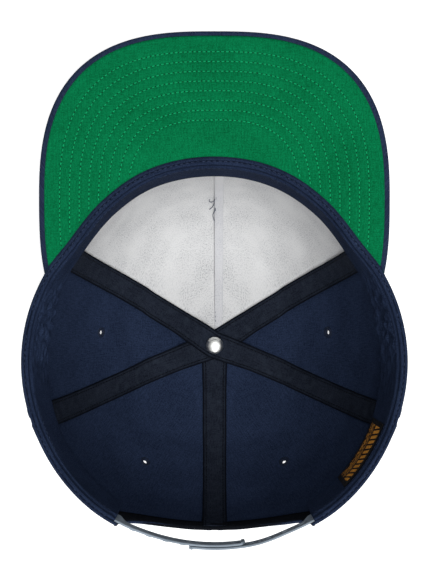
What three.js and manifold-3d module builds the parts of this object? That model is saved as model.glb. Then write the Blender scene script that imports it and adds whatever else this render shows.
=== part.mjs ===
// A six-panel snapback cap that lies upside down on its crown, with its opening facing up.
// Millimetres, +Z up, +Y towards the visor, and the floor at z = 0.
import * as THREE from "three";
import { mergeVertices } from "three/addons/utils/BufferGeometryUtils.js";
import Module from "manifold-3d";

const wasm = await Module();
wasm.setup();

// Crown
const RIM_HEIGHT = 114; // floor to rim
const CROWN_SPRING = 8; // depth that the crown loses where the floor presses its top flat
const PRESS_BLEND = 1.5; // the cloth bends into the flat over this height
const RIM_RADIUS = 100.2; // centre of the rim to its outer edge at the middle of the front
const APEX_FORWARD = 1; // the crown's apex lies this far ahead of the rim's centre
const FRONT_SEAM = 55.5; // degrees from the front to the seam between front and side panel
const SIDE_SEAM = 109.5; // degrees from the front to the seam between side and back panel
const SEAM_BOW = 2.4; // degrees that both seams swing to the back, halfway to the apex

// The crown's form by angle from the front, the same on both sides.
// radius is a share of RIM_RADIUS, fullness is the power of the round profile,
// and lean is the share of the radius by which the wall leans in over the whole depth.
const CROWN_FORM = [
  { angle: 0, radius: 1.0, fullness: 3.4, lean: 0.086 },
  { angle: 20, radius: 0.992, fullness: 3.3, lean: 0.07 },
  { angle: 36, radius: 0.961, fullness: 3.1, lean: 0.045 },
  { angle: 52, radius: 0.931, fullness: 2.8, lean: 0.03 },
  { angle: 66, radius: 0.953, fullness: 2.65, lean: 0.09 },
  { angle: 90, radius: 0.978, fullness: 2.6, lean: 0.16 },
  { angle: 115, radius: 0.991, fullness: 2.7, lean: 0.09 },
  { angle: 142, radius: 1.004, fullness: 2.9, lean: 0.05 },
  { angle: 160, radius: 0.993, fullness: 3.1, lean: 0.03 },
  { angle: 180, radius: 0.99, fullness: 3.2, lean: 0.02 },
];

// Layers of the wall, from the outside in
const CLOTH = 1.5;
const BUCKRAM = 0.9;
const TAPE = 0.8;
const BAND = 1.2; // sweatband
const LABEL = 0.6;
const GAP = 0.3; // left between pieces that touch
const TAPE_WIDTH = 14;
const STRIP_WIDTH = 5.5; // seam allowance beside the front seam
const STRIP_THICKNESS = 0.6;
const STRIP_START = 39; // its depth below the rim
const TAPE_START = 5; // depth of the tapes' and buckram's hidden upper ends
const BAND_DEPTH = 33;
const BAND_RISE = 0.6; // the rolled edge stands this far above the rim
const BAND_ROLL = 4.2; // width of the rolled edge

// Visor
const VISOR_REACH = 63; // rim to tip along the middle
const VISOR_SEAM = 64.5; // degrees from the front to each end of the visor's seam
const VISOR_BULGE = 2.5; // its sides swell this far beyond the ends of the seam
const VISOR_SQUARENESS = 2.75; // power of the outline, 2 is an ellipse
const VISOR_CURVE = 4; // sag of its middle between the ends of the seam
const VISOR_RISE = 6; // the tip stands this far above the line of the rim
const VISOR_BOARD = 3; // board and upper cover
const VISOR_CLOTH = 1.2; // under-visor cloth
const VISOR_LIP = 2.4; // upper cover that wraps round the edge

// Back arch and strap
const ARCH_HALF_WIDTH = 50;
const ARCH_HEIGHT = 50;
const STRAP_HEIGHT = 16;
const STRAP_THICKNESS = 1.2;
const STRAP_DROP = 0.6; // the strap's edge below the rim
const STRAP_FLARE = 1; // its far edge stands out by this where the strap is free
const STRAP_TUCK = 14; // length held between panel and sweatband at each end
const STRAP_LAP_RIGHT = 16; // the inner half ends this far right of the middle
const SNAP_PITCH = 9;
const SNAP_COUNT = 7; // pegs on one half, and holes in the other
const SNAPS_MATED = 3;
const SNAP_END = 5.5; // end of a half to the middle of its first peg or hole
const PEG_RADIUS = 2;
const PEG_CLEARANCE = 0.5;
const PEG_HEIGHT = 1.2; // above the face of its half, as deep as the other half is thick
const DRILL_PAST = 1; // the tool for a hole reaches this far past both faces

// Button, rivet, eyelets and label
const BUTTON_RADIUS = 7;
const BUTTON_LIFT = 5; // hollow pressed into the crown by the button
const BUTTON_HOLLOW = 26; // radius of that hollow
const SHANK_RADIUS = 2;
const SHANK_HOLE = 3; // radius that the panels leave open at the apex
const RIVET_RADIUS = 4.8;
const RIVET_DOME = 2.4;
const EYELET_HOLE = 1.1;
const EYELET_BARREL = 2;
const EYELET_FLANGE = 3.4;
const EYELET_THREAD = 0.6;
const EYELET_EASE = 0.75; // room under the flange, where the panel curves below it
// Each eyelet's angle from the front, and its plan radius as a share of RIM_RADIUS
const EYELETS = [
  { name: "side", angle: 83, radius: 0.651 },
  { name: "back", angle: 148.9, radius: 0.769 },
];
const LABEL_FROM = 112.5; // degrees from the front to the label's near end
const LABEL_LENGTH = 40;
const LABEL_START = 5; // depth of its upper edge
const LABEL_HEIGHT = 26;

// Facets
const PANEL_COLUMNS = 9;
const PANEL_ROWS = 12;
const BAND_COLUMNS = 54;
const OUTLINE_STEPS = 64;
const STRAP_COLUMNS = 14;
const STRIP_COLUMNS = 2;
const LABEL_COLUMNS = 6;
const LABEL_ROWS = 3;
const ARCH_STEPS = 24;
const VISOR_RINGS = 3;
const ROUND_SIDES = 16;
const PEG_SIDES = 10;

const COLOURS = {
  navy: 0x1f2738,
  tape: 0x14171c,
  white: 0xd2d2cf,
  green: 0x0a7a44,
  band: 0x232b3c,
  strap: 0x4f5f70,
  metal: 0xc9ccca,
  label: 0x171616,
};

const radians = THREE.MathUtils.degToRad;
const degrees = THREE.MathUtils.radToDeg;
const lerp = THREE.MathUtils.lerp;
const FRONT = 90;

// Angle from the front, 0 to 180, of an azimuth counted from +X
function fromFront(azimuth) {
  const turn = THREE.MathUtils.euclideanModulo(azimuth - FRONT, 360);
  return turn > 180 ? 360 - turn : turn;
}

// One column of CROWN_FORM at an angle from the front, by a smooth curve through its rows
function form(column, angle) {
  const last = CROWN_FORM.length - 1;
  let row = 0;
  while (row < last - 1 && angle > CROWN_FORM[row + 1].angle) row += 1;
  const slope = (k) => {
    if (k === 0 || k === last) return 0;
    const before = CROWN_FORM[k - 1];
    const after = CROWN_FORM[k + 1];
    return (after[column] - before[column]) / (after.angle - before.angle);
  };
  const from = CROWN_FORM[row];
  const to = CROWN_FORM[row + 1];
  const span = to.angle - from.angle;
  const t = (angle - from.angle) / span;
  const ease = t * t * (3 - 2 * t);
  const lead = t * (1 - t) * (1 - t) * slope(row) - t * t * (1 - t) * slope(row + 1);
  return lerp(from[column], to[column], ease) + span * lead;
}

const rimRadius = (azimuth) => RIM_RADIUS * form("radius", fromFront(azimuth));

// The ends of the visor's seam, on the rim
const seamRadius = rimRadius(FRONT + VISOR_SEAM);
const SEAM_X = seamRadius * Math.sin(radians(VISOR_SEAM));
const SEAM_Y = seamRadius * Math.cos(radians(VISOR_SEAM));

// Height of the rim over the floor: it follows the visor's curve at the front
const sagAt = (x) => VISOR_CURVE * (1 - (x / SEAM_X) ** 2);
function rimTop(azimuth) {
  if (fromFront(azimuth) >= VISOR_SEAM) return RIM_HEIGHT;
  return RIM_HEIGHT - sagAt(rimRadius(azimuth) * Math.cos(radians(azimuth)));
}

// Lifts what would sink below the floor, with a soft bend into the flat
function pressFlat(z) {
  if (z >= PRESS_BLEND) return z;
  if (z <= -PRESS_BLEND) return 0;
  return (z + PRESS_BLEND) ** 2 / (4 * PRESS_BLEND);
}

function buttonHollow(radius) {
  if (radius >= BUTTON_HOLLOW) return 0;
  return (BUTTON_LIFT * (1 + Math.cos((Math.PI * radius) / BUTTON_HOLLOW))) / 2;
}

// Outer face of the crown: turn runs from 0 at the rim to 1 at the apex
function crownPoint(azimuth, turn) {
  const angle = fromFront(azimuth);
  const power = form("fullness", angle);
  const out = Math.max(Math.cos((turn * Math.PI) / 2), 0);
  const down = Math.sin((turn * Math.PI) / 2);
  const norm = (out ** power + down ** power) ** (1 / power);
  const depth = down / norm;
  const radius = ((rimRadius(azimuth) * out) / norm) * (1 - form("lean", angle) * depth);
  const x = radius * Math.cos(radians(azimuth));
  const y = radius * Math.sin(radians(azimuth)) + APEX_FORWARD * depth;
  const free = rimTop(azimuth) - (rimTop(azimuth) + CROWN_SPRING) * depth;
  return new THREE.Vector3(x, y, pressFlat(free) + buttonHollow(radius));
}

// Direction from the crown's outer face towards its inside
function crownInward(azimuth, turn) {
  const swing = 0.5;
  const step = 0.004;
  const across = crownPoint(azimuth + swing, turn).sub(crownPoint(azimuth - swing, turn));
  const low = crownPoint(azimuth, Math.min(turn + step, 1));
  const along = low.sub(crownPoint(azimuth, Math.max(turn - step, 0)));
  return across.cross(along).normalize();
}

const layerPoint = (azimuth, turn, inset) =>
  crownPoint(azimuth, turn).addScaledVector(crownInward(azimuth, turn), inset);

// Turn at which the crown has a given depth below the rim
function turnAtDepth(azimuth, depth) {
  const power = form("fullness", fromFront(azimuth));
  const down = depth / (rimTop(azimuth) + CROWN_SPRING);
  const out = (1 - down ** power) ** (1 / power);
  return Math.atan2(down, out) / (Math.PI / 2);
}

// Turn at which the crown's plan radius shrinks to a given length, by halving
function turnAtRadius(azimuth, radius) {
  let low = 0;
  let high = 1;
  for (let i = 0; i < 30; i += 1) {
    const middle = (low + high) / 2;
    if (planRadius(azimuth, middle) > radius) low = middle;
    else high = middle;
  }
  return low;
}

function planRadius(azimuth, turn) {
  const p = crownPoint(azimuth, turn);
  return Math.hypot(p.x, p.y - APEX_FORWARD * Math.min(1, turn * 2));
}

// Point of the wall near the rim, by its depth below the rim and its inset from the outside
function rimPoint(azimuth, depth, inset) {
  const p = crownPoint(azimuth, turnAtDepth(azimuth, Math.max(depth, 0)));
  const inward = new THREE.Vector3(-Math.cos(radians(azimuth)), -Math.sin(radians(azimuth)), 0);
  p.addScaledVector(inward, inset);
  p.z = rimTop(azimuth) - depth;
  return p;
}

// Closed wall between an outer grid of points, side 0, and an inner one, side 1
function wall(columns, rows, pointAt) {
  const positions = [];
  for (const side of [0, 1])
    for (let i = 0; i <= columns; i += 1)
      for (let j = 0; j <= rows; j += 1)
        positions.push(...pointAt(i / columns, j / rows, side, j).toArray());
  const at = (side, i, j) => (side * (columns + 1) + i) * (rows + 1) + j;
  const faces = [];
  const quad = (a, b, c, d) => faces.push(a, b, c, a, c, d);
  for (let i = 0; i < columns; i += 1)
    for (let j = 0; j < rows; j += 1) {
      quad(at(0, i, j), at(0, i, j + 1), at(0, i + 1, j + 1), at(0, i + 1, j));
      quad(at(1, i, j), at(1, i + 1, j), at(1, i + 1, j + 1), at(1, i, j + 1));
    }
  for (let i = 0; i < columns; i += 1) {
    quad(at(0, i, 0), at(0, i + 1, 0), at(1, i + 1, 0), at(1, i, 0));
    quad(at(0, i, rows), at(1, i, rows), at(1, i + 1, rows), at(0, i + 1, rows));
  }
  for (let j = 0; j < rows; j += 1) {
    quad(at(0, 0, j), at(1, 0, j), at(1, 0, j + 1), at(0, 0, j + 1));
    quad(at(0, columns, j), at(0, columns, j + 1), at(1, columns, j + 1), at(1, columns, j));
  }
  return solid(positions, faces);
}

function solid(positions, faces) {
  const geometry = new THREE.BufferGeometry();
  geometry.setAttribute("position", new THREE.Float32BufferAttribute(positions, 3));
  geometry.setIndex(faces);
  return geometry;
}

// A closed geometry as a solid that can be joined and cut
function toManifold(geometry) {
  const bare = geometry.clone();
  bare.deleteAttribute("normal");
  bare.deleteAttribute("uv");
  const merged = mergeVertices(bare, 1e-4);
  const index = merged.index.array;
  const triangles = [];
  for (let i = 0; i < index.length; i += 3) {
    const [a, b, c] = index.slice(i, i + 3);
    if (a !== b && b !== c && c !== a) triangles.push(a, b, c);
  }
  return new wasm.Manifold(
    new wasm.Mesh({
      numProp: 3,
      vertProperties: new Float32Array(merged.attributes.position.array),
      triVerts: new Uint32Array(triangles),
    }),
  );
}

function toGeometry(manifold) {
  const mesh = manifold.getMesh();
  return solid(Array.from(mesh.vertProperties), Array.from(mesh.triVerts));
}

function cut(geometry, ...tools) {
  const body = tools.reduce((left, tool) => left.subtract(toManifold(tool)), toManifold(geometry));
  return toGeometry(body);
}

function join(geometry, ...others) {
  const body = others.reduce((sum, other) => sum.add(toManifold(other)), toManifold(geometry));
  return toGeometry(body);
}

// Turns a shape made about the Z axis so that its Z runs along a direction from a point
function aim(geometry, point, direction) {
  const turn = new THREE.Quaternion().setFromUnitVectors(new THREE.Vector3(0, 0, 1), direction);
  return geometry.applyQuaternion(turn).translate(point.x, point.y, point.z);
}

function lathe(profile) {
  const points = profile.map(([radius, height]) => new THREE.Vector2(radius, height));
  return new THREE.LatheGeometry(points, ROUND_SIDES).rotateX(Math.PI / 2);
}

const cap = new THREE.Group();

function add(name, geometry, colour, finish = { roughness: 0.9, metalness: 0 }) {
  const material = new THREE.MeshStandardMaterial({ color: colour, ...finish });
  const mesh = new THREE.Mesh(geometry, material);
  mesh.name = name;
  cap.add(mesh);
}

// Left is -X, as seen looking down into the cap with the visor away from the viewer
const SIDES = [
  { name: "left", sign: 1 },
  { name: "right", sign: -1 },
];
const azimuthOf = (sign, angle) => FRONT + sign * angle;

// Angle from the front of a seam at a turn. The front and back seams lie in the middle plane
function seamAngle(angle, turn) {
  const bowed = Math.abs(angle) > 0 && Math.abs(angle) < 180;
  return bowed ? angle + Math.sign(angle) * SEAM_BOW * Math.sin(Math.PI * turn) : angle;
}

// Rows from a depth down to the apex hole. All layers share them, so that their facets nest
function rowsFrom(azimuth, depth) {
  const share = turnAtDepth(azimuth, depth) / turnAtRadius(azimuth, SHANK_HOLE);
  const leastGap = 0.25; // share of a row that the first of them keeps from the depth's own row
  const first = Math.ceil(share * PANEL_ROWS + leastGap);
  return {
    count: PANEL_ROWS - first + 1,
    turnAt: (at, row) => {
      if (row === 0) return turnAtDepth(at, depth);
      return (turnAtRadius(at, SHANK_HOLE) * (first + row - 1)) / PANEL_ROWS;
    },
  };
}

// A gore of one layer between two angles from the front, from a depth down to the apex hole
function gore(sign, from, to, depth, inset, thickness, columns = PANEL_COLUMNS) {
  const [start, end] = sign > 0 ? [from, to] : [-to, -from];
  const rows = rowsFrom(FRONT + (start + end) / 2, depth);
  return wall(columns, rows.count, (u, v, side, row) => {
    const middle = FRONT + lerp(start, end, u);
    const turn = rows.turnAt(middle, row);
    const seam = degrees(GAP / 2 / planRadius(middle, turn));
    const low = seamAngle(start, turn) + seam;
    const high = seamAngle(end, turn) - seam;
    const azimuth = FRONT + lerp(low, high, u);
    return layerPoint(azimuth, turn, inset + side * thickness);
  });
}

// The arch's half ellipse, widened by a margin, as a tool that cuts through the back
function archTool(margin) {
  const headroom = RIM_HEIGHT / 4;
  const shape = new THREE.Shape();
  shape.moveTo(ARCH_HALF_WIDTH + margin, RIM_HEIGHT + headroom);
  shape.lineTo(-ARCH_HALF_WIDTH - margin, RIM_HEIGHT + headroom);
  shape.absellipse(
    0,
    RIM_HEIGHT,
    ARCH_HALF_WIDTH + margin,
    ARCH_HEIGHT + margin,
    Math.PI,
    2 * Math.PI,
    false,
  );
  const depth = RIM_RADIUS;
  const options = { depth, bevelEnabled: false, curveSegments: ARCH_STEPS };
  const tool = new THREE.ExtrudeGeometry(shape, options);
  return tool.rotateX(Math.PI / 2).translate(0, -RIM_RADIUS / 2, 0);
}

// An eyelet sits flat on the panel's facet, between the two rows of points around it
function eyeletSeat(sign, row) {
  const azimuth = azimuthOf(sign, row.angle);
  const whole = turnAtRadius(azimuth, SHANK_HOLE);
  const place = (turnAtRadius(azimuth, row.radius * RIM_RADIUS) / whole) * PANEL_ROWS;
  const above = (whole * Math.floor(place)) / PANEL_ROWS;
  const below = (whole * Math.ceil(place)) / PANEL_ROWS;
  const point = crownPoint(azimuth, above).lerp(crownPoint(azimuth, below), place % 1);
  const inward = crownInward(azimuth, above).add(crownInward(azimuth, below)).normalize();
  return { point, inward };
}

function addPanels() {
  const drillLength = CLOTH * 4;
  for (const { name, sign } of SIDES) {
    const holeFor = (row) => {
      const { point, inward } = eyeletSeat(sign, row);
      const barrel = new THREE.CylinderGeometry(
        EYELET_BARREL + GAP,
        EYELET_BARREL + GAP,
        drillLength,
        ROUND_SIDES,
      );
      return aim(barrel.rotateX(Math.PI / 2), point, inward);
    };
    add(`front_panel_${name}`, gore(sign, 0, FRONT_SEAM, 0, 0, CLOTH), COLOURS.navy);
    const side = gore(sign, FRONT_SEAM, SIDE_SEAM, 0, 0, CLOTH);
    add(`side_panel_${name}`, cut(side, holeFor(EYELETS[0])), COLOURS.navy);
    const back = gore(sign, SIDE_SEAM, 180, 0, 0, CLOTH, PANEL_COLUMNS + 3);
    add(`back_panel_${name}`, cut(back, holeFor(EYELETS[1]), archTool(0)), COLOURS.navy);
  }
}

function addBuckram() {
  const inset = CLOTH + GAP;
  for (const { name, sign } of SIDES)
    add(
      `buckram_${name}`,
      gore(sign, 0, FRONT_SEAM, TAPE_START, inset, BUCKRAM),
      COLOURS.white,
    );
}

const TAPE_INSET = CLOTH + GAP;
const FRONT_TAPE_INSET = CLOTH + BUCKRAM + 2 * GAP;

// A strip of cloth along a seam: it runs between two offsets to the sides of the seam and
// narrows near the apex, where it meets the next strips halfway
function seamStrip(angle, offsets, limits, start, inset, thickness) {
  const rows = rowsFrom(FRONT + angle, start);
  return wall(STRIP_COLUMNS, rows.count, (u, v, side, row) => {
    const turn = rows.turnAt(FRONT + angle, row);
    const azimuth = FRONT + seamAngle(angle, turn);
    const radius = planRadius(azimuth, turn);
    const room = limits.map((limit) => radians(limit) * radius - GAP / 2);
    const low = -Math.min(-offsets[0], room[0]);
    const high = Math.min(offsets[1], room[1]);
    const swing = degrees(lerp(low, high, u) / radius);
    return layerPoint(azimuth + swing, turn, inset + side * thickness);
  });
}

function addTapes() {
  const half = TAPE_WIDTH / 2;
  const frontRoom = FRONT_SEAM / 2;
  const sideRoom = (SIDE_SEAM - FRONT_SEAM) / 2;
  const backRoom = (180 - SIDE_SEAM) / 2;
  for (const { name, sign } of SIDES) {
    const order = (a, b) => (sign > 0 ? [a, b] : [b, a]);
    const tape = (angle, limits, inset) =>
      seamStrip(sign * angle, [-half, half], limits, TAPE_START, inset, TAPE);
    const front = tape(FRONT_SEAM, order(frontRoom, sideRoom), FRONT_TAPE_INSET);
    const side = tape(SIDE_SEAM, order(sideRoom, backRoom), TAPE_INSET);
    add(`tape_front_${name}`, front, COLOURS.tape);
    add(`tape_side_${name}`, side, COLOURS.tape);
  }
  const back = seamStrip(
    180,
    [-half, half],
    [backRoom, backRoom],
    TAPE_START,
    TAPE_INSET,
    TAPE,
  );
  add("tape_back", cut(back, archTool(GAP)), COLOURS.tape);
  const strip = seamStrip(
    0,
    [-STRIP_WIDTH, 0],
    [frontRoom, frontRoom],
    STRIP_START,
    FRONT_TAPE_INSET,
    STRIP_THICKNESS,
  );
  add("front_seam_strip", strip, COLOURS.white);
}

// Distance from the outside of the crown to the sweatband's outer face
const BAND_INSET = FRONT_TAPE_INSET + TAPE + GAP;

function addSweatband() {
  const low = BAND_RISE;
  const high = BAND_RISE + BAND;
  const roll = BAND_ROLL;
  // Each row holds an inset and a depth on the hidden face, then on the seen one
  const section = [
    [0, -low, 0, -high],
    [roll - BAND, -low, roll, -high],
    [BAND_INSET, BAND_RISE, BAND_INSET + BAND, -low],
    [BAND_INSET, BAND_DEPTH / 3, BAND_INSET + BAND, BAND_DEPTH / 3],
    [BAND_INSET, (BAND_DEPTH * 2) / 3, BAND_INSET + BAND, (BAND_DEPTH * 2) / 3],
    [BAND_INSET, BAND_DEPTH, BAND_INSET + BAND, BAND_DEPTH],
  ];
  const reach = 180 - degrees(Math.asin((ARCH_HALF_WIDTH + 2 * CLOTH) / rimRadius(FRONT + 180)));
  const band = wall(BAND_COLUMNS, section.length - 1, (u, v, side, row) => {
    const azimuth = FRONT + lerp(-reach, reach, u);
    const [inset, depth] = section[row].slice(side * 2, side * 2 + 2);
    return rimPoint(azimuth, depth, inset);
  });
  add("sweatband", band, COLOURS.band);
}

// Solid under a closed outline: the outline gives the plan, faces give upper and lower heights
function slab(outline, upper, lower) {
  const positions = [];
  for (const face of [upper, lower]) {
    const centre = outline(0, 0);
    positions.push(centre.x, centre.y, face(centre.x, centre.y));
    for (let ring = 1; ring <= VISOR_RINGS; ring += 1)
      for (let k = 0; k < OUTLINE_STEPS; k += 1) {
        const p = outline(k / OUTLINE_STEPS, ring / VISOR_RINGS);
        positions.push(p.x, p.y, face(p.x, p.y));
      }
  }
  const half = 1 + VISOR_RINGS * OUTLINE_STEPS;
  const at = (face, ring, k) => face * half + 1 + (ring - 1) * OUTLINE_STEPS + (k % OUTLINE_STEPS);
  const faces = [];
  for (let k = 0; k < OUTLINE_STEPS; k += 1) {
    faces.push(0, at(0, 1, k), at(0, 1, k + 1), half, at(1, 1, k + 1), at(1, 1, k));
    for (let ring = 1; ring < VISOR_RINGS; ring += 1) {
      faces.push(at(0, ring, k), at(0, ring + 1, k), at(0, ring + 1, k + 1));
      faces.push(at(0, ring, k), at(0, ring + 1, k + 1), at(0, ring, k + 1));
      faces.push(at(1, ring, k), at(1, ring + 1, k + 1), at(1, ring + 1, k));
      faces.push(at(1, ring, k), at(1, ring, k + 1), at(1, ring + 1, k + 1));
    }
    faces.push(at(0, VISOR_RINGS, k), at(1, VISOR_RINGS, k), at(1, VISOR_RINGS, k + 1));
    faces.push(at(0, VISOR_RINGS, k), at(1, VISOR_RINGS, k + 1), at(0, VISOR_RINGS, k + 1));
  }
  return solid(positions, faces);
}

// Everything inside the rim, widened by a margin, as a tool that cuts the visor's seam
function crownTool(margin) {
  const outline = new THREE.Shape();
  const steps = BAND_COLUMNS + PANEL_COLUMNS * 2;
  for (let k = 0; k < steps; k += 1) {
    const azimuth = (k * 360) / steps;
    const radius = rimRadius(azimuth) + margin;
    const x = radius * Math.cos(radians(azimuth));
    const y = radius * Math.sin(radians(azimuth));
    if (k === 0) outline.moveTo(x, y);
    else outline.lineTo(x, y);
  }
  return new THREE.ExtrudeGeometry(outline, { depth: RIM_HEIGHT, bevelEnabled: false }).translate(
    0,
    0,
    RIM_HEIGHT / 2,
  );
}

// The visor's outline is a squared ellipse through the tip and both ends of the seam
const TIP_Y = RIM_RADIUS + VISOR_REACH;
const OUTLINE_A = SEAM_X + VISOR_BULGE;
const seamShare =
  (1 - (SEAM_X / OUTLINE_A) ** VISOR_SQUARENESS) ** (1 / VISOR_SQUARENESS);
const OUTLINE_B = (TIP_Y - SEAM_Y) / (1 + seamShare);
const OUTLINE_Y = TIP_Y - OUTLINE_B;

const visorOutline = (margin) => (turn, share) => {
  const c = Math.cos(turn * 2 * Math.PI);
  const s = Math.sin(turn * 2 * Math.PI);
  const power = VISOR_SQUARENESS;
  const norm = (Math.abs(c) ** power + Math.abs(s) ** power) ** (1 / power);
  return {
    x: (share * (OUTLINE_A - margin) * c) / norm,
    y: OUTLINE_Y + (share * (OUTLINE_B - margin) * s) / norm,
  };
};

// Height of the visor's middle surface
function visorHeight(x, y) {
  const azimuth = degrees(Math.atan2(y, x));
  const beyond = Math.max(Math.hypot(x, y) - rimRadius(azimuth), 0) / VISOR_REACH;
  return RIM_HEIGHT - sagAt(x) + VISOR_RISE * beyond;
}
const visorFace = (offset) => (x, y) => visorHeight(x, y) + offset;

function addVisor() {
  const under = -2 * GAP; // underside of the green cloth lies a gap above this
  const cover = slab(
    visorOutline(0),
    visorFace(under + VISOR_CLOTH),
    visorFace(under - VISOR_BOARD),
  );
  const pocket = slab(
    visorOutline(VISOR_LIP),
    visorFace(under + 3 * VISOR_CLOTH),
    visorFace(under),
  );
  add("visor_top", cut(cover, pocket, crownTool(GAP)), COLOURS.navy);
  const green = slab(
    visorOutline(VISOR_LIP + GAP),
    visorFace(under + GAP + VISOR_CLOTH),
    visorFace(under + GAP),
  );
  add("visor_under", cut(green, crownTool(GAP)), COLOURS.green);
}

// Angle from the back to the arch's corners
const ARCH_ANGLE = degrees(Math.asin(ARCH_HALF_WIDTH / rimRadius(FRONT + 180)));
// Shares of that angle at which the strap comes free of the cloth, and stands up straight
const FREE_FROM = 0.88;
const FREE_BY = 0.6;
const LAP_BY = 0.34; // share at which the outer half has moved out over the inner one
const ease = (t) => THREE.MathUtils.smoothstep(t, 0, 1);

// Point of a strap half: it follows the panel's inside where it is tucked in, and stands up
// straight where it is free. Layer 0 is the inner half and layer 1 the outer one.
function strapPoint(azimuth, depth, layer, depthInWall) {
  const fromBack = 180 - fromFront(azimuth);
  const share = fromBack / ARCH_ANGLE;
  const free = ease((FREE_FROM - share) / (FREE_FROM - FREE_BY));
  const outward = layer * (STRAP_THICKNESS + GAP) * ease((FREE_FROM - share) / (FREE_FROM - LAP_BY));
  const flare = (STRAP_FLARE * free * depth) / STRAP_HEIGHT;
  const angle = radians(azimuth);
  const tucked = rimPoint(azimuth, depth, 0);
  const outline = lerp(Math.hypot(tucked.x, tucked.y), rimRadius(azimuth), free);
  const radius = outline - CLOTH - GAP + outward + flare - depthInWall;
  return new THREE.Vector3(radius * Math.cos(angle), radius * Math.sin(angle), RIM_HEIGHT - depth);
}

// Azimuth of a place on the strap, by its distance to the right of the middle
const backAzimuth = (right) => FRONT + 180 + degrees(right / rimRadius(FRONT + 180));

// One half of the strap between two places, with layer 0 inside and 1 outside
function strapBand(from, to, layer) {
  return wall(STRAP_COLUMNS, 2, (u, v, side) => {
    const azimuth = lerp(from, to, u);
    const depth = STRAP_DROP + v * STRAP_HEIGHT;
    return strapPoint(azimuth, depth, layer, side * STRAP_THICKNESS);
  });
}

// Round bar across the strap at one place, from outside to inside of the named wall depths
function snapBar(right, layer, radius, outside, inside) {
  const azimuth = backAzimuth(right);
  const depth = STRAP_DROP + STRAP_HEIGHT / 2;
  const outer = strapPoint(azimuth, depth, layer, outside);
  const inner = strapPoint(azimuth, depth, layer, inside);
  const axis = inner.clone().sub(outer);
  const bar = new THREE.CylinderGeometry(radius, radius, axis.length(), PEG_SIDES);
  return aim(
    bar.rotateX(Math.PI / 2),
    outer.clone().add(inner).multiplyScalar(0.5),
    axis.normalize(),
  );
}

function addStrap() {
  const tuck = ARCH_ANGLE + degrees(STRAP_TUCK / rimRadius(FRONT + 180));
  const back = backAzimuth(0);
  const first = STRAP_LAP_RIGHT - SNAP_END;
  const last = first - (SNAPS_MATED - 1) * SNAP_PITCH;
  const places = Array.from({ length: SNAP_COUNT }, (_, k) => k);
  const pegs = places.map((k) =>
    snapBar(first - k * SNAP_PITCH, 0, PEG_RADIUS, -PEG_HEIGHT, STRAP_THICKNESS / 2),
  );
  const left = strapBand(back - tuck, backAzimuth(STRAP_LAP_RIGHT), 0);
  const finish = { roughness: 0.35, metalness: 0 };
  add("strap_left", join(left, ...pegs), COLOURS.strap, finish);
  const hole = PEG_RADIUS + PEG_CLEARANCE;
  const holes = places.map((k) =>
    snapBar(last + k * SNAP_PITCH, 1, hole, -DRILL_PAST, STRAP_THICKNESS + DRILL_PAST),
  );
  const right = strapBand(backAzimuth(last - SNAP_END), back + tuck, 1);
  add("strap_right", cut(right, ...holes), COLOURS.strap, finish);
}

function addButton() {
  const top = BUTTON_LIFT - 2 * GAP;
  const edge = buttonHollow(BUTTON_RADIUS) - 2 * GAP;
  const button = lathe([
    [0, GAP],
    [BUTTON_RADIUS * 0.5, GAP + edge * 0.08],
    [BUTTON_RADIUS * 0.86, GAP + edge * 0.35],
    [BUTTON_RADIUS, edge * 0.8],
    [BUTTON_RADIUS * 0.94, edge],
    [0, top],
  ]).translate(0, APEX_FORWARD, 0);
  add("top_button", button, COLOURS.navy);
  const seat = BUTTON_LIFT + BAND_INSET;
  const rivet = lathe([
    [0, top + GAP],
    [SHANK_RADIUS, top + GAP],
    [SHANK_RADIUS, seat],
    [RIVET_RADIUS, seat],
    [RIVET_RADIUS, seat + RIVET_DOME * 0.2],
    [RIVET_RADIUS * 0.75, seat + RIVET_DOME * 0.78],
    [RIVET_RADIUS * 0.35, seat + RIVET_DOME * 0.97],
    [0, seat + RIVET_DOME],
  ]).translate(0, APEX_FORWARD, 0);
  add("button_rivet", rivet, COLOURS.metal, { roughness: 0.3, metalness: 1 });
}

// A sewn eyelet is a spool that lines the hole and grips both faces of the panel
function addEyelets() {
  const near = -EYELET_EASE;
  const far = CLOTH + EYELET_EASE;
  const spool = [
    [EYELET_HOLE, near - EYELET_THREAD],
    [EYELET_FLANGE, near - EYELET_THREAD / 2],
    [EYELET_FLANGE, near],
    [EYELET_BARREL, near],
    [EYELET_BARREL, far],
    [EYELET_FLANGE, far],
    [EYELET_FLANGE, far + EYELET_THREAD / 2],
    [EYELET_HOLE, far + EYELET_THREAD],
    [EYELET_HOLE, near - EYELET_THREAD],
  ];
  for (const { name, sign } of SIDES)
    for (const row of EYELETS) {
      const { point, inward } = eyeletSeat(sign, row);
      add(`eyelet_${row.name}_${name}`, aim(lathe(spool), point, inward), COLOURS.navy);
    }
}

function addLabel() {
  const start = azimuthOf(-1, LABEL_FROM);
  const length = degrees(LABEL_LENGTH / rimRadius(start));
  const label = wall(LABEL_COLUMNS, LABEL_ROWS, (u, v, side) =>
    rimPoint(
      start - length * (1 - u),
      LABEL_START + v * LABEL_HEIGHT,
      BAND_INSET + BAND + GAP + side * LABEL,
    ),
  );
  add("woven_label", label, COLOURS.label);
}

addPanels();
addBuckram();
addTapes();
addSweatband();
addVisor();
addStrap();
addButton();
addEyelets();
addLabel();

// The origin lies on the floor, under the middle of the cap's length and width
const middle = new THREE.Box3().setFromObject(cap).getCenter(new THREE.Vector3());
cap.position.set(-middle.x, -middle.y, 0);

export default cap;
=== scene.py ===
"""A six-panel snapback cap that lies upside down on its crown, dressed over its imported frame.

Sizes of the sub-assemblies are in millimetres in the cap's own axes: +Z up, +Y towards the visor,
and the middle of the rim at x = 0, y = 0. Frame.place turns them into metres in the frame's axes.
Finishes, lights and the camera are in metres from the start, and all angles are in degrees.
"""

from __future__ import annotations

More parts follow.
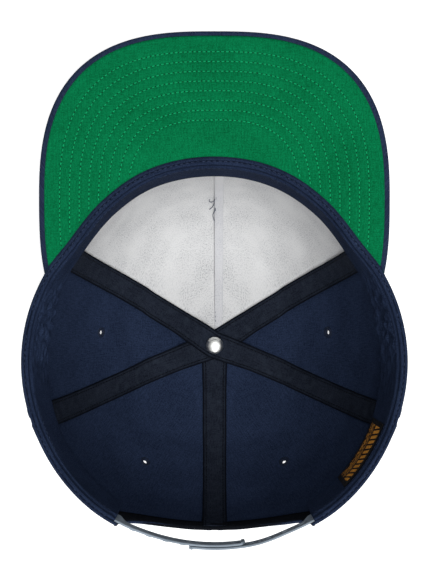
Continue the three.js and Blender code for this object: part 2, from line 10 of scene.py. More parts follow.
import logging
import math
from contextlib import contextmanager
from dataclasses import dataclass, field
from enum import Enum
from typing import Callable, Iterator, Sequence

import bmesh
import bpy
import numpy as np
from mathutils import Matrix, Vector

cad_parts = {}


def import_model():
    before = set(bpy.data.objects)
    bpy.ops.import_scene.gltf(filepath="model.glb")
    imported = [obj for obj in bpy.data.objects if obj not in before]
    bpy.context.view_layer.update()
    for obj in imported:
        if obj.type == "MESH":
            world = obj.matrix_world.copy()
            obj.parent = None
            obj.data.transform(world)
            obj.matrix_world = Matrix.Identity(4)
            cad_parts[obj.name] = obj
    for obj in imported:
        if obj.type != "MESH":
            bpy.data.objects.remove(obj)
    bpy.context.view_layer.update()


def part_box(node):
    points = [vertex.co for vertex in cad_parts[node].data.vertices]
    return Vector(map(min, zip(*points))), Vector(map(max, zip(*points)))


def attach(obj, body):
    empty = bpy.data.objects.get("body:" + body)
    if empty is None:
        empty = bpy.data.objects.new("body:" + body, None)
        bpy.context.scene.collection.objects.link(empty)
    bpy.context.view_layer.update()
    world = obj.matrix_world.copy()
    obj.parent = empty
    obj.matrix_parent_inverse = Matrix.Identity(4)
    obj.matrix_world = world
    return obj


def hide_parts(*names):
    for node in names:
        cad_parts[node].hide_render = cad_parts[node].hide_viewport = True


LOG = logging.getLogger("snapback_cap")
MM = 0.001
FRONT = 90.0
HALF_TURN = 180.0
BODY = "root"
HALVINGS = 34
NEAR = 1e-6
UV_LAYER = "UVMap"
ROUND = 2.0 * math.pi

Array = np.ndarray
Colour = tuple[float, float, float]
Socket = bpy.types.NodeSocket
Material = bpy.types.Material
Piece = bpy.types.Object
Inputs = dict[str, object]
Path = tuple[Array, Array]


class Side(Enum):
    """The cap's two halves: left is -X, where azimuths grow from the front."""

    LEFT = 1
    RIGHT = -1

    @property
    def word(self) -> str:
        """Return the side's part of a node's name."""
        return self.name.lower()


class Slot(Enum):
    """The record's material slots."""

    NAVY = "navy_twill"
    BAND = "sweatband"
    BUCKRAM = "buckram"
    TAPE = "seam_tape"
    GREEN = "green_twill"
    STRAP = "strap_plastic"
    METAL = "rivet_metal"
    LABEL = "label"


def eased(t: Array) -> Array:
    """Return a soft step from 0 to 1 as t runs from 0 to 1."""
    t = np.clip(t, 0.0, 1.0)
    return t * t * (3.0 - 2.0 * t)


def mixed(a: Array, b: Array, share: Array) -> Array:
    """Return the mix of a and b that has the given share of b."""
    return a + (b - a) * share


def unit(vectors: Array) -> Array:
    """Return the vectors at length 1."""
    return vectors / np.maximum(np.linalg.norm(vectors, axis=-1, keepdims=True), 1e-9)


def bump(distance: Array, width: Array) -> Array:
    """Return a soft hill, 1 at no distance and almost 0 beyond two widths."""
    return np.exp(-((distance / width) ** 2))


def shares(count: int) -> Array:
    """Return the ends of a number of even steps from 0 to 1."""
    return np.linspace(0.0, 1.0, count + 1)


def lengths(path: Array) -> Array:
    """Return the length along a path at each of its points."""
    steps = np.linalg.norm(np.diff(path, axis=0), axis=-1)
    return np.concatenate([[0.0], np.cumsum(steps)])


def polar(azimuth: Array, radius: Array) -> tuple[Array, Array]:
    """Return x and y of places at an azimuth in degrees and a radius."""
    return radius * np.cos(np.radians(azimuth)), radius * np.sin(np.radians(azimuth))


def azimuth_of(x: Array, y: Array) -> Array:
    """Return the azimuth in degrees of places in plan."""
    return np.degrees(np.arctan2(y, x))


@contextmanager
def edited(mesh: bpy.types.Mesh) -> Iterator[bmesh.types.BMesh]:
    """Open a mesh for bmesh operators and write it back when they are done.

    Args:
        mesh: The mesh, which may be empty.

    Yields:
        Its bmesh.
    """
    bm = bmesh.new()
    bm.from_mesh(mesh)
    yield bm
    bm.to_mesh(mesh)
    bm.free()


def halved(test: Callable[[Array], Array], low: Array, high: Array) -> Array:
    """Find where a test turns from true to false, by halving.

    Args:
        test: Function of an array that gives an array of true and false.
        low: Values where it is true.
        high: Values where it is false.

    Returns:
        The values at the change.
    """
    for _ in range(HALVINGS):
        middle = (low + high) / 2.0
        hit = test(middle)
        low = np.where(hit, middle, low)
        high = np.where(hit, high, middle)
    return low


@dataclass(frozen=True)
class Ripples:
    """Soft folds in cloth: a fixed sum of waves in many directions."""

    seed: int
    length: float
    stretch: float = 1.0
    waves: int = 11

    def at(self, u: Array, v: Array) -> Array:
        """Give the height of the folds.

        Args:
            u: Places along the cloth, along which the folds are stretched.
            v: Places across it.

        Returns:
            Heights, mostly between -1.5 and 1.5.
        """
        chance = np.random.default_rng(self.seed)
        total = np.zeros(np.broadcast(u, v).shape)
        for _ in range(self.waves):
            heading, phase = chance.uniform(0.0, 2.0 * math.pi, 2)
            size = self.length * chance.uniform(0.55, 1.9)
            way = u * math.cos(heading) / self.stretch + v * math.sin(heading)
            total += np.sin(2.0 * math.pi * way / size + phase)
        return total / math.sqrt(self.waves)


@dataclass(frozen=True)
class CrownForm:
    """The crown's outer face."""

    rim_height: float = 114.0
    spring: float = 8.0
    press_blend: float = 1.5
    rim_radius: float = 100.2
    apex_forward: float = 1.0
    front_seam: float = 55.5
    side_seam: float = 109.5
    seam_bow: float = 2.4
    visor_seam: float = 64.5
    visor_curve: float = 4.0
    button_lift: float = 5.0
    button_hollow: float = 26.0
    shank_hole: float = 3.0
    arch_half_width: float = 50.0
    arch_height: float = 50.0
    # Angle from the front, share of rim_radius, fullness of the profile, lean of the wall
    rows: tuple[tuple[float, float, float, float], ...] = (
        (0, 1.0, 3.4, 0.086),
        (20, 0.992, 3.3, 0.07),
        (36, 0.961, 3.1, 0.045),
        (52, 0.931, 2.8, 0.03),
        (66, 0.953, 2.65, 0.09),
        (90, 0.978, 2.6, 0.16),
        (115, 0.991, 2.7, 0.09),
        (142, 1.004, 2.9, 0.05),
        (160, 0.993, 3.1, 0.03),
        (180, 0.99, 3.2, 0.02),
    )

    def column(self, index: int, angle: Array) -> Array:
        """Read one column of the rows by a smooth curve.

        Args:
            index: 1 radius, 2 fullness, 3 lean.
            angle: Angles from the front, 0 to 180.

        Returns:
            The column's values there.
        """
        table = np.asarray(self.rows, dtype=float)
        knots, values = table[:, 0], table[:, index]
        slopes = np.zeros_like(values)
        slopes[1:-1] = (values[2:] - values[:-2]) / (knots[2:] - knots[:-2])
        row = np.clip(np.searchsorted(knots, angle, side="left") - 1, 0, len(knots) - 2)
        span = knots[row + 1] - knots[row]
        t = (angle - knots[row]) / span
        lead = t * (1 - t) ** 2 * slopes[row] - t * t * (1 - t) * slopes[row + 1]
        return mixed(values[row], values[row + 1], t * t * (3 - 2 * t)) + span * lead

    @staticmethod
    def from_front(azimuth: Array) -> Array:
        """Return the angle from the front, 0 to 180, of azimuths counted from +X."""
        turn = np.mod(np.asarray(azimuth, dtype=float) - FRONT, 360.0)
        return np.where(turn > HALF_TURN, 360.0 - turn, turn)

    def rim_at(self, azimuth: Array) -> Array:
        """Return the rim's outer radius."""
        return self.rim_radius * self.column(1, self.from_front(azimuth))

    @property
    def seam_x(self) -> float:
        """Return half the width between the ends of the visor's seam."""
        angle = math.radians(self.visor_seam)
        return float(self.rim_at(FRONT + self.visor_seam)) * math.sin(angle)

    def sag(self, x: Array) -> Array:
        """Return how far the visor's curve lies below the rim's height."""
        return self.visor_curve * (1.0 - (x / self.seam_x) ** 2)

    def rim_top(self, azimuth: Array) -> Array:
        """Return the rim's height over the floor."""
        x, _ = polar(azimuth, self.rim_at(azimuth))
        at_back = self.from_front(azimuth) >= self.visor_seam
        return np.where(at_back, self.rim_height, self.rim_height - self.sag(x))

    def press(self, z: Array) -> Array:
        """Lift all that would sink below the floor onto it.

        Args:
            z: Heights of the crown before it is pressed flat.

        Returns:
            Heights, none below 0.
        """
        blend = self.press_blend
        bent = (z + blend) ** 2 / (4.0 * blend)
        return np.where(z >= blend, z, np.where(z <= -blend, 0.0, bent))

    def point(self, azimuth: Array, turn: Array) -> Array:
        """Find points of the outer face.

        Args:
            azimuth: Azimuths in degrees.
            turn: 0 at the rim to 1 at the apex.

        Returns:
            Points, in one more dimension than the arguments.
        """
        azimuth, turn = np.broadcast_arrays(azimuth, turn)
        angle = self.from_front(azimuth)
        power = self.column(2, angle)
        out = np.maximum(np.cos(turn * math.pi / 2.0), 0.0)
        down = np.sin(turn * math.pi / 2.0)
        norm = (out**power + down**power) ** (1.0 / power)
        depth = down / norm
        radius = self.rim_at(azimuth) * out / norm * (1.0 - self.column(3, angle) * depth)
        top = self.rim_top(azimuth)
        lift = self.button_lift * (1.0 + np.cos(math.pi * radius / self.button_hollow)) / 2.0
        lift = np.where(radius < self.button_hollow, lift, 0.0)
        x, y = polar(azimuth, radius)
        z = self.press(top - (top + self.spring) * depth) + lift
        return np.stack([x, y + self.apex_forward * depth, z], axis=-1)

    def inward(self, azimuth: Array, turn: Array) -> Array:
        """Find the directions from the outer face towards the inside.

        Args:
            azimuth: Azimuths in degrees.
            turn: 0 at the rim to 1 at the apex.

        Returns:
            Unit vectors.
        """
        swing, step, apex = 0.5, 0.004, 0.9999
        across = self.point(azimuth + swing, turn) - self.point(azimuth - swing, turn)
        low = self.point(azimuth, np.minimum(turn + step, apex))
        along = low - self.point(azimuth, np.maximum(turn - step, 0.0))
        return unit(np.cross(across, along))

    def layer(self, azimuth: Array, turn: Array, inset: Array) -> Array:
        """Return points that lie inside the outer face by an inset."""
        inset = np.asarray(inset, dtype=float)[..., None]
        return self.point(azimuth, turn) + self.inward(azimuth, turn) * inset

    def plan_radius(self, azimuth: Array, turn: Array) -> Array:
        """Return how far points lie from the crown's axis, seen from above."""
        p = self.point(azimuth, turn)
        return np.hypot(p[..., 0], p[..., 1] - self.apex_forward * np.minimum(1.0, turn * 2.0))

    def turn_at_radius(self, azimuth: Array, radius: Array) -> Array:
        """Find where the plan radius has shrunk to a length.

        Args:
            azimuth: Azimuths in degrees.
            radius: The lengths.

        Returns:
            The turns there.
        """
        shape = np.broadcast(azimuth, radius).shape

        def outside(turn: Array) -> Array:
            """Tell where the crown is still wider."""
            return self.plan_radius(azimuth, turn) > radius

        return halved(outside, np.zeros(shape), np.ones(shape))

    def turn_at_depth(self, azimuth: Array, depth: Array) -> Array:
        """Find where the crown has a depth below its rim.

        Args:
            azimuth: Azimuths in degrees.
            depth: The depths.

        Returns:
            The turns there.
        """
        power = self.column(2, self.from_front(azimuth))
        down = np.asarray(depth, dtype=float) / (self.rim_top(azimuth) + self.spring)
        out = (1.0 - down**power) ** (1.0 / power)
        return np.arctan2(down, out) / (math.pi / 2.0)

    def rim_point(self, azimuth: Array, depth: Array, inset: Array) -> Array:
        """Find points near the rim.

        Args:
            azimuth: Azimuths in degrees.
            depth: Depths below the rim.
            inset: Level distances inside the outer face.

        Returns:
            The points.
        """
        azimuth, depth, inset = np.broadcast_arrays(azimuth, depth, inset)
        p = self.point(azimuth, self.turn_at_depth(azimuth, np.maximum(depth, 0.0)))
        x, y = polar(azimuth, inset)
        return np.stack([p[..., 0] - x, p[..., 1] - y, self.rim_top(azimuth) - depth], axis=-1)

    def seam_angle(self, angle: float, turn: Array) -> Array:
        """Follow a seam, which bows except in the middle plane.

        Args:
            angle: Its angle from the front at the rim.
            turn: 0 at the rim to 1 at the apex.

        Returns:
            Its angles from the front.
        """
        bowed = 0.0 < abs(angle) < HALF_TURN
        bow = math.copysign(self.seam_bow, angle) if bowed else 0.0
        return angle + bow * np.sin(math.pi * np.asarray(turn, dtype=float))

    def back_angle(self, half_width: Array, depth: Array) -> Array:
        """Find where the back wall has a half width.

        Args:
            half_width: Distances from the middle plane.
            depth: Depths below the rim.

        Returns:
            The angles from the front.
        """
        shape = np.broadcast(half_width, depth).shape

        def wider(angle: Array) -> Array:
            """Tell where the wall is still wider."""
            return -self.rim_point(FRONT + angle, depth, 0.0)[..., 0] > half_width

        return halved(wider, np.full(shape, 115.0), np.full(shape, 180.001))


@dataclass(frozen=True)
class Frame:
    """Where the cap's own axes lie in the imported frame."""

    shift_y: float

    @classmethod
    def read(cls, crown: CrownForm, reach: float) -> "Frame":
        """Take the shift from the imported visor's tip, which lies at a known place.

        Args:
            crown: The crown's form.
            reach: Length of the visor along its middle.

        Returns:
            The frame.
        """
        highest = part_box("visor_top")[1]
        return cls(shift_y=float(highest[1]) / MM - crown.rim_radius - reach)

    def place(self, points: Array) -> Array:
        """Return points in metres, in the frame's axes."""
        return (np.asarray(points, dtype=float) + np.array([0.0, self.shift_y, 0.0])) * MM


def surface_uv(points: Array, origin: int | None = None) -> Array:
    """Lay a grid of points out flat, true to length along its rows and columns.

    Args:
        points: Grid of points.
        origin: Column from which lengths are counted, the middle one if None.

    Returns:
        Flat places in metres.
    """
    middle = points.shape[0] // 2 if origin is None else origin
    across = np.linalg.norm(np.diff(points, axis=0), axis=-1)
    u = np.concatenate([np.zeros((1, points.shape[1])), np.cumsum(across, axis=0)])
    u = u - u[middle : middle + 1]
    down = np.linalg.norm(np.diff(points, axis=1), axis=-1)
    v = np.concatenate([np.zeros((points.shape[0], 1)), np.cumsum(down, axis=1)], axis=1)
    return np.stack([u, v], axis=-1) * MM


@dataclass
class Workroom:
    """Makes the meshes of the pieces and keeps a list of those it has made."""

    frame: Frame
    made: list[Piece] = field(default_factory=list)

    def sheet(self, name: str, points: Array, uv: Array, turned: bool = False) -> Piece:
        """Make a surface from a grid whose vertices are moved to the given points.

        Args:
            name: The piece's name.
            points: Grid of points in millimetres.
            uv: Flat place of each point, in metres.
            turned: Whether the faces are turned over.

        Returns:
            The object.
        """
        columns, rows = points.shape[0] - 1, points.shape[1] - 1
        mesh = bpy.data.meshes.new(name)
        with edited(mesh) as bm:
            bmesh.ops.create_grid(bm, x_segments=columns, y_segments=rows, size=1.0)
            if turned:
                bmesh.ops.reverse_faces(bm, faces=bm.faces[:])
        flat = np.empty(len(mesh.vertices) * 3)
        mesh.vertices.foreach_get("co", flat)
        flat = flat.reshape(-1, 3)[:, :2]
        low, high = flat.min(axis=0), flat.max(axis=0)
        place = np.rint((flat - low) / (high - low) * np.array([columns, rows])).astype(int)
        spot = self.frame.place(points)[place[:, 0], place[:, 1]]
        mesh.vertices.foreach_set("co", spot.ravel())
        corner = np.empty(len(mesh.loops), dtype=int)
        mesh.loops.foreach_get("vertex_index", corner)
        layer = mesh.uv_layers.new(name=UV_LAYER)
        layer.data.foreach_set("uv", uv[place[corner, 0], place[corner, 1]].ravel())
        mesh.update()
        return self.link(name, mesh)

    def link(self, name: str, mesh: bpy.types.Mesh) -> Piece:
        """Put a mesh into the scene, shaded smooth.

        Args:
            name: The object's name.
            mesh: The mesh.

        Returns:
            Its new object.
        """
        mesh.shade_smooth()
        obj = bpy.data.objects.new(name, mesh)
        bpy.context.scene.collection.objects.link(obj)
        return obj

    def weld(self, obj: Piece, near: float = NEAR) -> None:
        """Join doubled vertices, close open ends and turn all faces outwards.

        Args:
            obj: The piece.
            near: Distance in metres under which vertices are one.
        """
        with edited(obj.data) as bm:
            bmesh.ops.remove_doubles(bm, verts=bm.verts[:], dist=near)
            bmesh.ops.dissolve_degenerate(bm, edges=bm.edges[:], dist=near / 10.0)
            rims = [edge for edge in bm.edges if edge.is_boundary]
            if rims:
                bmesh.ops.holes_fill(bm, edges=rims, sides=0)
            bmesh.ops.recalc_face_normals(bm, faces=bm.faces[:])
        obj.data.shade_smooth()

    def thicken(self, obj: Piece, thickness: float) -> None:
        """Give a sheet a thickness, away from the side that its faces show.

        Args:
            obj: The sheet.
            thickness: Its thickness in millimetres.
        """
        wall = obj.modifiers.new("thickness", "SOLIDIFY")
        wall.thickness = thickness * MM
        wall.offset = -1.0
        wall.use_even_offset = False

    def pierce(self, obj: Piece, spots: Sequence[Array], radius: float) -> None:
        """Open round holes in a sheet by deleting the faces there.

        Args:
            obj: The sheet.
            spots: Middles of the holes in millimetres.
            radius: Radius of the holes in millimetres.
        """
        middles = [Vector(self.frame.place(spot)) for spot in spots]
        with edited(obj.data) as bm:
            gone = [
                face
                for face in bm.faces
                if any((face.calc_center_median() - m).length < radius * MM for m in middles)
            ]
            bmesh.ops.delete(bm, geom=gone, context="FACES")

    def enter(
        self,
        obj: Piece,
        finish: Material,
        slot: Slot,
        nodes: Sequence[str] = (),
    ) -> Piece:
        """Dress a piece, hang it on the cap's body and add it to the list of made pieces.

        Args:
            obj: The piece.
            finish: Its material.
            slot: The record's slot that it stands for.
            nodes: Nodes that it stands in for.

        Returns:
            The piece.
        """
        obj.data.materials.clear()
        obj.data.materials.append(finish)
        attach(obj, BODY)
        if nodes:
            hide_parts(*nodes)
        self.made.append(obj)
        LOG.info("%s: %d faces, %s", obj.name, len(obj.data.polygons), slot.value)
        return obj


@dataclass
class Needlework:
    """Sews rows of stitches, each one a small thread bolster."""

    room: Workroom
    length: float = 1.75
    gap: float = 0.65
    width: float = 0.42
    height: float = 0.34
    lead: float = 0.2

    def sew(
        self,
        name: str,
        rows: Sequence[Path],
        finish: Material,
        slot: Slot,
    ) -> Piece:
        """Sew all rows as one piece.

        Args:
            name: The piece's name.
            rows: For each row its points and the directions out of the cloth there.
            finish: The thread's material.
            slot: The slot that it stands for.

        Returns:
            The piece.
        """
        places = [place for points, normals in rows for place in self.row(points, normals)]
        mesh = bpy.data.meshes.new(name)
        with edited(mesh) as bm:
            bmesh.ops.create_uvsphere(bm, u_segments=6, v_segments=5, radius=1.0)
            number = bm.verts.layers.int.new("stitch")
            made = 1
            while made < len(places):
                whole = bm.verts[:] + bm.edges[:] + bm.faces[:]
                copy = bmesh.ops.duplicate(bm, geom=whole)["geom"]
                for item in copy:
                    if isinstance(item, bmesh.types.BMVert):
                        item[number] += made
                made *= 2
            extra = [vert for vert in bm.verts if vert[number] >= len(places)]
            bmesh.ops.delete(bm, geom=extra, context="VERTS")
            for vert in bm.verts:
                vert.co = places[vert[number]] @ vert.co
            bm.verts.layers.int.remove(number)
        return self.room.enter(self.room.link(name, mesh), finish, slot)

    def row(self, points: Array, normals: Array) -> list[Matrix]:
        """Find the place of each stitch in one row.

        Args:
            points: The row's path.
            normals: Directions out of the cloth along it.

        Returns:
            Matrices that take a round bolster of radius 1 to each stitch.
        """
        places = []
        run = lengths(points)
        for start in np.arange(self.lead, run[-1] - self.length, self.length + self.gap):
            a, b = self.along(points, run, start), self.along(points, run, start + self.length)
            up = Vector(self.along(normals, run, start + self.length / 2.0)).normalized()
            way = Vector(b - a)
            half = way.length / 2.0
            way.normalize()
            side = up.cross(way).normalized()
            middle = Vector(self.room.frame.place((a + b) / 2.0))
            turn = Matrix((side, way.cross(side), way)).transposed().to_4x4()
            size = Matrix.Diagonal((self.width / 2.0, self.height / 2.0, half, 1.0))
            places.append(Matrix.Translation(middle) @ turn @ Matrix.Scale(MM, 4) @ size)
        return places

    @staticmethod
    def along(values: Array, run: Array, spot: float) -> Array:
        """Return the values at a length along a path."""
        return np.array([np.interp(spot, run, values[:, axis]) for axis in range(3)])


class Nodes:
    """Adds and joins the nodes of one tree."""

    def __init__(self, tree: bpy.types.NodeTree) -> None:
        """Start with an empty tree."""
        self.tree = tree
        tree.nodes.clear()

    def add(self, kind: str, **settings: object) -> bpy.types.Node:
        """Add a node of a kind, with its settings."""
        node = self.tree.nodes.new(kind)
        for key, value in settings.items():
            setattr(node, key, value)
        return node

    def put(self, socket: Socket, value: object) -> None:
        """Set an input, or link it where the value is an output socket.

        Args:
            socket: The input.
            value: Number, colour or output socket.
        """
        if isinstance(value, Socket):
            self.tree.links.new(value, socket)
        else:
            socket.default_value = value

    def feed(self, node: bpy.types.Node, **values: object) -> bpy.types.Node:
        """Set or link inputs by name, where _ stands for a space.

        Args:
            node: The node.
            **values: Numbers, colours or output sockets.

        Returns:
            The node.
        """
        for key, value in values.items():
            self.put(node.inputs[key.replace("_", " ")], value)
        return node

    def math(self, operation: str, *values: object) -> Socket:
        """Work out a sum.

        Args:
            operation: The node's name for it.
            *values: Numbers or sockets.

        Returns:
            The result.
        """
        node = self.add("ShaderNodeMath", operation=operation)
        for socket, value in zip(node.inputs, values):
            self.put(socket, value)
        return node.outputs[0]

    def times(self, a: object, b: object) -> Socket:
        """Return a product."""
        return self.math("MULTIPLY", a, b)

    def scaled(self, value: object, factor: object, offset: object) -> Socket:
        """Return a value times a factor, plus an offset."""
        return self.math("ADD", self.times(value, factor), offset)

    def flat_place(self) -> Socket:
        """Return the flat place on the cloth, in metres."""
        return self.add("ShaderNodeUVMap", uv_map=UV_LAYER).outputs[0]

    def solid_place(self) -> Socket:
        """Return the place in space, in metres."""
        return self.add("ShaderNodeTexCoord").outputs["Object"]

    def axes(self, vector: object) -> Sequence[Socket]:
        """Return the three numbers of a vector."""
        return self.feed(self.add("ShaderNodeSeparateXYZ"), Vector=vector).outputs

    def stretched(self, vector: object, scale: Colour) -> Socket:
        """Return places whose pattern is drawn out along the smaller scales."""
        return self.feed(self.add("ShaderNodeMapping"), Vector=vector, Scale=scale).outputs[0]

    def noise(self, vector: object, scale: float, detail: float = 2.0) -> Socket:
        """Return a cloudy pattern from 0 to 1."""
        node = self.add("ShaderNodeTexNoise")
        self.feed(node, Vector=vector, Scale=scale, Detail=detail)
        return node.outputs[0]

    def ramp(self, value: object, low: float, high: float) -> Socket:
        """Return a value stretched so that low becomes 0 and high becomes 1."""
        node = self.add("ShaderNodeMapRange")
        self.feed(node, Value=value, From_Min=low, From_Max=high)
        return node.outputs[0]

    def blend(self, share: object, a: object, b: object) -> Socket:
        """Mix two colours.

        Args:
            share: Share of the second one.
            a: The first colour.
            b: The second colour.

        Returns:
            The mix.
        """
        node = self.add("ShaderNodeMix", data_type="RGBA")
        for index, value in ((0, share), (6, a), (7, b)):
            self.put(node.inputs[index], (*value, 1.0) if isinstance(value, tuple) else value)
        return node.outputs[2]

    def relief(self, height: object, depth: float) -> Socket:
        """Return normals for a height pattern whose full height is a depth in metres."""
        node = self.add("ShaderNodeBump")
        self.feed(node, Height=height, Strength=1.0, Distance=depth)
        return node.outputs[0]


class Threads:
    """The node group that draws woven threads from a flat place in metres."""

    name = "woven_threads"

    def group(self) -> bpy.types.NodeTree:
        """Return the group, made on first use."""
        known = bpy.data.node_groups.get(self.name)
        return known if known else self.build()

    def build(self) -> bpy.types.NodeTree:
        """Build the group: ridges on the slant, each cut into single threads."""
        tree = bpy.data.node_groups.new(self.name, "ShaderNodeTree")
        tree.interface.new_socket("Place", in_out="INPUT", socket_type="NodeSocketVector")
        for name, value in (("Pitch", 0.0007), ("Slant", 0.8), ("Unevenness", 0.35)):
            socket = tree.interface.new_socket(name, in_out="INPUT", socket_type="NodeSocketFloat")
            socket.default_value = value
        for name in ("Height", "Shade"):
            tree.interface.new_socket(name, in_out="OUTPUT", socket_type="NodeSocketFloat")
        n = Nodes(tree)
        given = n.add("NodeGroupInput")
        result = n.add("NodeGroupOutput")
        place, pitch = given.outputs["Place"], given.outputs["Pitch"]
        wobble = n.noise(place, 900.0)
        wobble = n.times(n.math("SUBTRACT", wobble, 0.5), given.outputs["Unevenness"])
        spread = n.add("ShaderNodeVectorRotate", rotation_type="Z_AXIS")
        n.feed(spread, Vector=place, Angle=given.outputs["Slant"])
        axes = n.axes(spread.outputs[0])
        cross = n.math("ADD", n.math("DIVIDE", axes[0], pitch), wobble)
        along = n.math("ADD", n.math("DIVIDE", axes[1], pitch), wobble)
        ridge = n.math("SINE", n.times(cross, ROUND))
        thread = n.math("SINE", n.times(n.math("ADD", along, cross), ROUND))
        height = n.scaled(n.scaled(ridge, 0.6, n.times(thread, 0.4)), 0.5, 0.5)
        grain = n.ramp(n.noise(place, 1500.0, 3.0), 0.32, 0.68)
        warp = n.ramp(self.streaks(n, place, (1.0, 0.16, 1.0)), 0.35, 0.65)
        weft = n.ramp(self.streaks(n, place, (0.16, 1.0, 1.0)), 0.35, 0.65)
        clouds = n.ramp(n.noise(place, 38.0, 3.0), 0.3, 0.7)
        shade = n.times(height, 0.15)
        for pattern, weight in ((grain, 0.4), (warp, 0.18), (weft, 0.12), (clouds, 0.15)):
            shade = n.scaled(pattern, weight, shade)
        n.feed(result, Height=height, Shade=n.ramp(shade, 0.2, 0.8))
        return tree

    @staticmethod
    def streaks(n: Nodes, place: object, stretch: Colour) -> Socket:
        """Return uneven yarn: a grain that is drawn out along the smaller number."""
        return n.noise(n.stretched(place, stretch), 1350.0)


@dataclass(frozen=True)
class Finish:
    """A material: its name and the two colours that its pattern mixes."""

    name: str
    base: Colour
    over: Colour

    def inputs(self, n: Nodes) -> Inputs:
        """Draw the finish, each kind in its own way.

        Args:
            n: The material's nodes.

        Returns:
            What the surface's inputs are fed, by their names with _ for a space.
        """
        raise NotImplementedError(self.name)

    def build(self) -> Material:
        """Return the material."""
        material = bpy.data.materials.new(self.name)
        material.use_nodes = True
        n = Nodes(material.node_tree)
        surface = n.feed(n.add("ShaderNodeBsdfPrincipled"), **self.inputs(n))
        n.feed(n.add("ShaderNodeOutputMaterial"), Surface=surface.outputs[0])
        return material


@dataclass(frozen=True)
class WovenFinish(Finish):
    """Woven cloth, from the colour of its deep threads to that of its lit ones."""

    pitch: float = 0.0007
    slant: float = 0.8
    depth: float = 0.00012
    roughness: float = 0.85
    unevenness: float = 0.35
    gloss: float = 0.02
    # Strength and colour of lighter blotches over the cloth
    blotching: float = 0.0
    blotchy: Colour = (0.06, 0.08, 0.11)
    # Places across the cloth of dark lines: painted groove shade on the sweatband, stitch rows on the
    # tape
    shade_and_stitch_lines: tuple[float, ...] = ()
    line_width: tuple[float, float] = (0.00045, 0.00015)
    half_width: float = 0.0
    edge_shadow: tuple[float, float] = (0.0013, 0.0005)
    darkening: float = 0.8

    def inputs(self, n: Nodes) -> Inputs:
        """Draw the weave, lighter blotches, painted shade lines in grooves and along edges, and dark
        stitch lines.
        """
        place = n.flat_place()
        weave = n.add("ShaderNodeGroup", node_tree=Threads().group())
        n.feed(weave, Place=place, Pitch=self.pitch, Slant=self.slant, Unevenness=self.unevenness)
        colour = n.blend(weave.outputs["Shade"], self.base, self.over)
        if self.blotching:
            patches = n.ramp(n.noise(place, 210.0, 4.0), 0.48, 0.75)
            colour = n.blend(n.times(patches, self.blotching), colour, self.blotchy)
        if self.shade_and_stitch_lines:
            colour = n.blend(self.creases(n, place), colour, self.dark)
        return {
            "Base_Color": colour,
            "Roughness": n.scaled(weave.outputs["Shade"], -0.12, self.roughness),
            "Normal": n.relief(weave.outputs["Height"], self.depth),
            "Specular_IOR_Level": self.gloss,
        }

    @property
    def dark(self) -> Colour:
        """Return the colour of the painted shade lines and the dark stitch lines."""
        return tuple(0.35 * part for part in self.base)

    def creases(self, n: Nodes, place: object) -> Socket:
        """Draw dark lines along the cloth: painted shade in the sweatband's grooves, the tape's stitch
        rows, and a painted shadow along both of the tape's edges.

        Args:
            n: The material's nodes.
            place: The flat place on the cloth.

        Returns:
            Their strength.
        """
        across = n.math("ABSOLUTE", n.axes(place)[0])
        mask: object = 0.0
        # Painted shadow along both edges, where the tape stands off the cloth
        if self.half_width:
            low, high = (self.half_width - margin for margin in self.edge_shadow)
            mask = n.ramp(across, low, high)
        for distance in self.shade_and_stitch_lines:
            off = n.math("ABSOLUTE", n.math("SUBTRACT", across, distance))
            mask = n.math("MAXIMUM", n.ramp(off, *self.line_width), mask)
        return n.times(mask, self.darkening)


@dataclass(frozen=True)
class FleeceFinish(Finish):
    """White stiffening fleece: pressed fibres with small dark specks, painted lighter near the rim."""

    depth: float = 0.00016
    # Distances from the cloth's start: painted light up to the first, specks and painted shade full
    # from the second
    painted_light_until: float = 0.012
    specks_and_shade_from: float = 0.04

    def inputs(self, n: Nodes) -> Inputs:
        """Draw fibres, specks and a painted dull shade, none close to the cloth's start, where the
        fleece is painted lighter.
        """
        place = n.flat_place()
        # 0 near the rim, where the fleece is left lighter as painted light, to 1 further in
        blotchy = n.ramp(n.axes(place)[1], self.painted_light_until, self.specks_and_shade_from)
        specks = n.ramp(n.noise(place, 1400.0, 3.0), 0.47, 0.7)
        fibres = n.noise(place, 2300.0, 4.0)
        clouds = n.ramp(n.noise(place, 60.0, 3.0), 0.35, 0.7)
        strength = n.scaled(clouds, 0.6, 0.25)
        dark = n.times(n.times(specks, strength), blotchy)
        # Painted shade: a dull grey tone over the fleece away from the rim
        dark = n.math("ADD", dark, n.times(n.scaled(clouds, 0.1, 0.26), blotchy))
        height = n.math("SUBTRACT", fibres, n.times(dark, 0.8))
        return {
            "Base_Color": n.blend(dark, self.base, self.over),
            "Roughness": 0.9,
            "Normal": n.relief(height, self.depth),
            "Specular_IOR_Level": 0.2,
        }


@dataclass(frozen=True)
class ThreadFinish(Finish):
    """Sewing thread: twisted strands that catch the light."""

    def inputs(self, n: Nodes) -> Inputs:
        """Draw the strands."""
        strands = n.noise(n.solid_place(), 2600.0)
        return {
            "Base_Color": n.blend(n.ramp(strands, 0.35, 0.65), self.base, self.over),
            "Roughness": 0.6,
            "Normal": n.relief(strands, 0.0001),
            "Specular_IOR_Level": 0.15,
        }


@dataclass(frozen=True)
class StrapFinish(Finish):
    """Moulded strap plastic, a little see-through, with a fine grain."""

    def inputs(self, n: Nodes) -> Inputs:
        """Draw the clouds and the grain."""
        place = n.solid_place()
        clouds = n.ramp(n.noise(place, 70.0, 3.0), 0.3, 0.7)
        grain = n.noise(place, 3200.0)
        return {
            "Base_Color": n.blend(clouds, self.base, self.over),
            "Roughness": n.scaled(grain, 0.2, 0.5),
            "Normal": n.relief(grain, 0.00003),
            "Transmission_Weight": 0.1,
            "IOR": 1.49,
        }


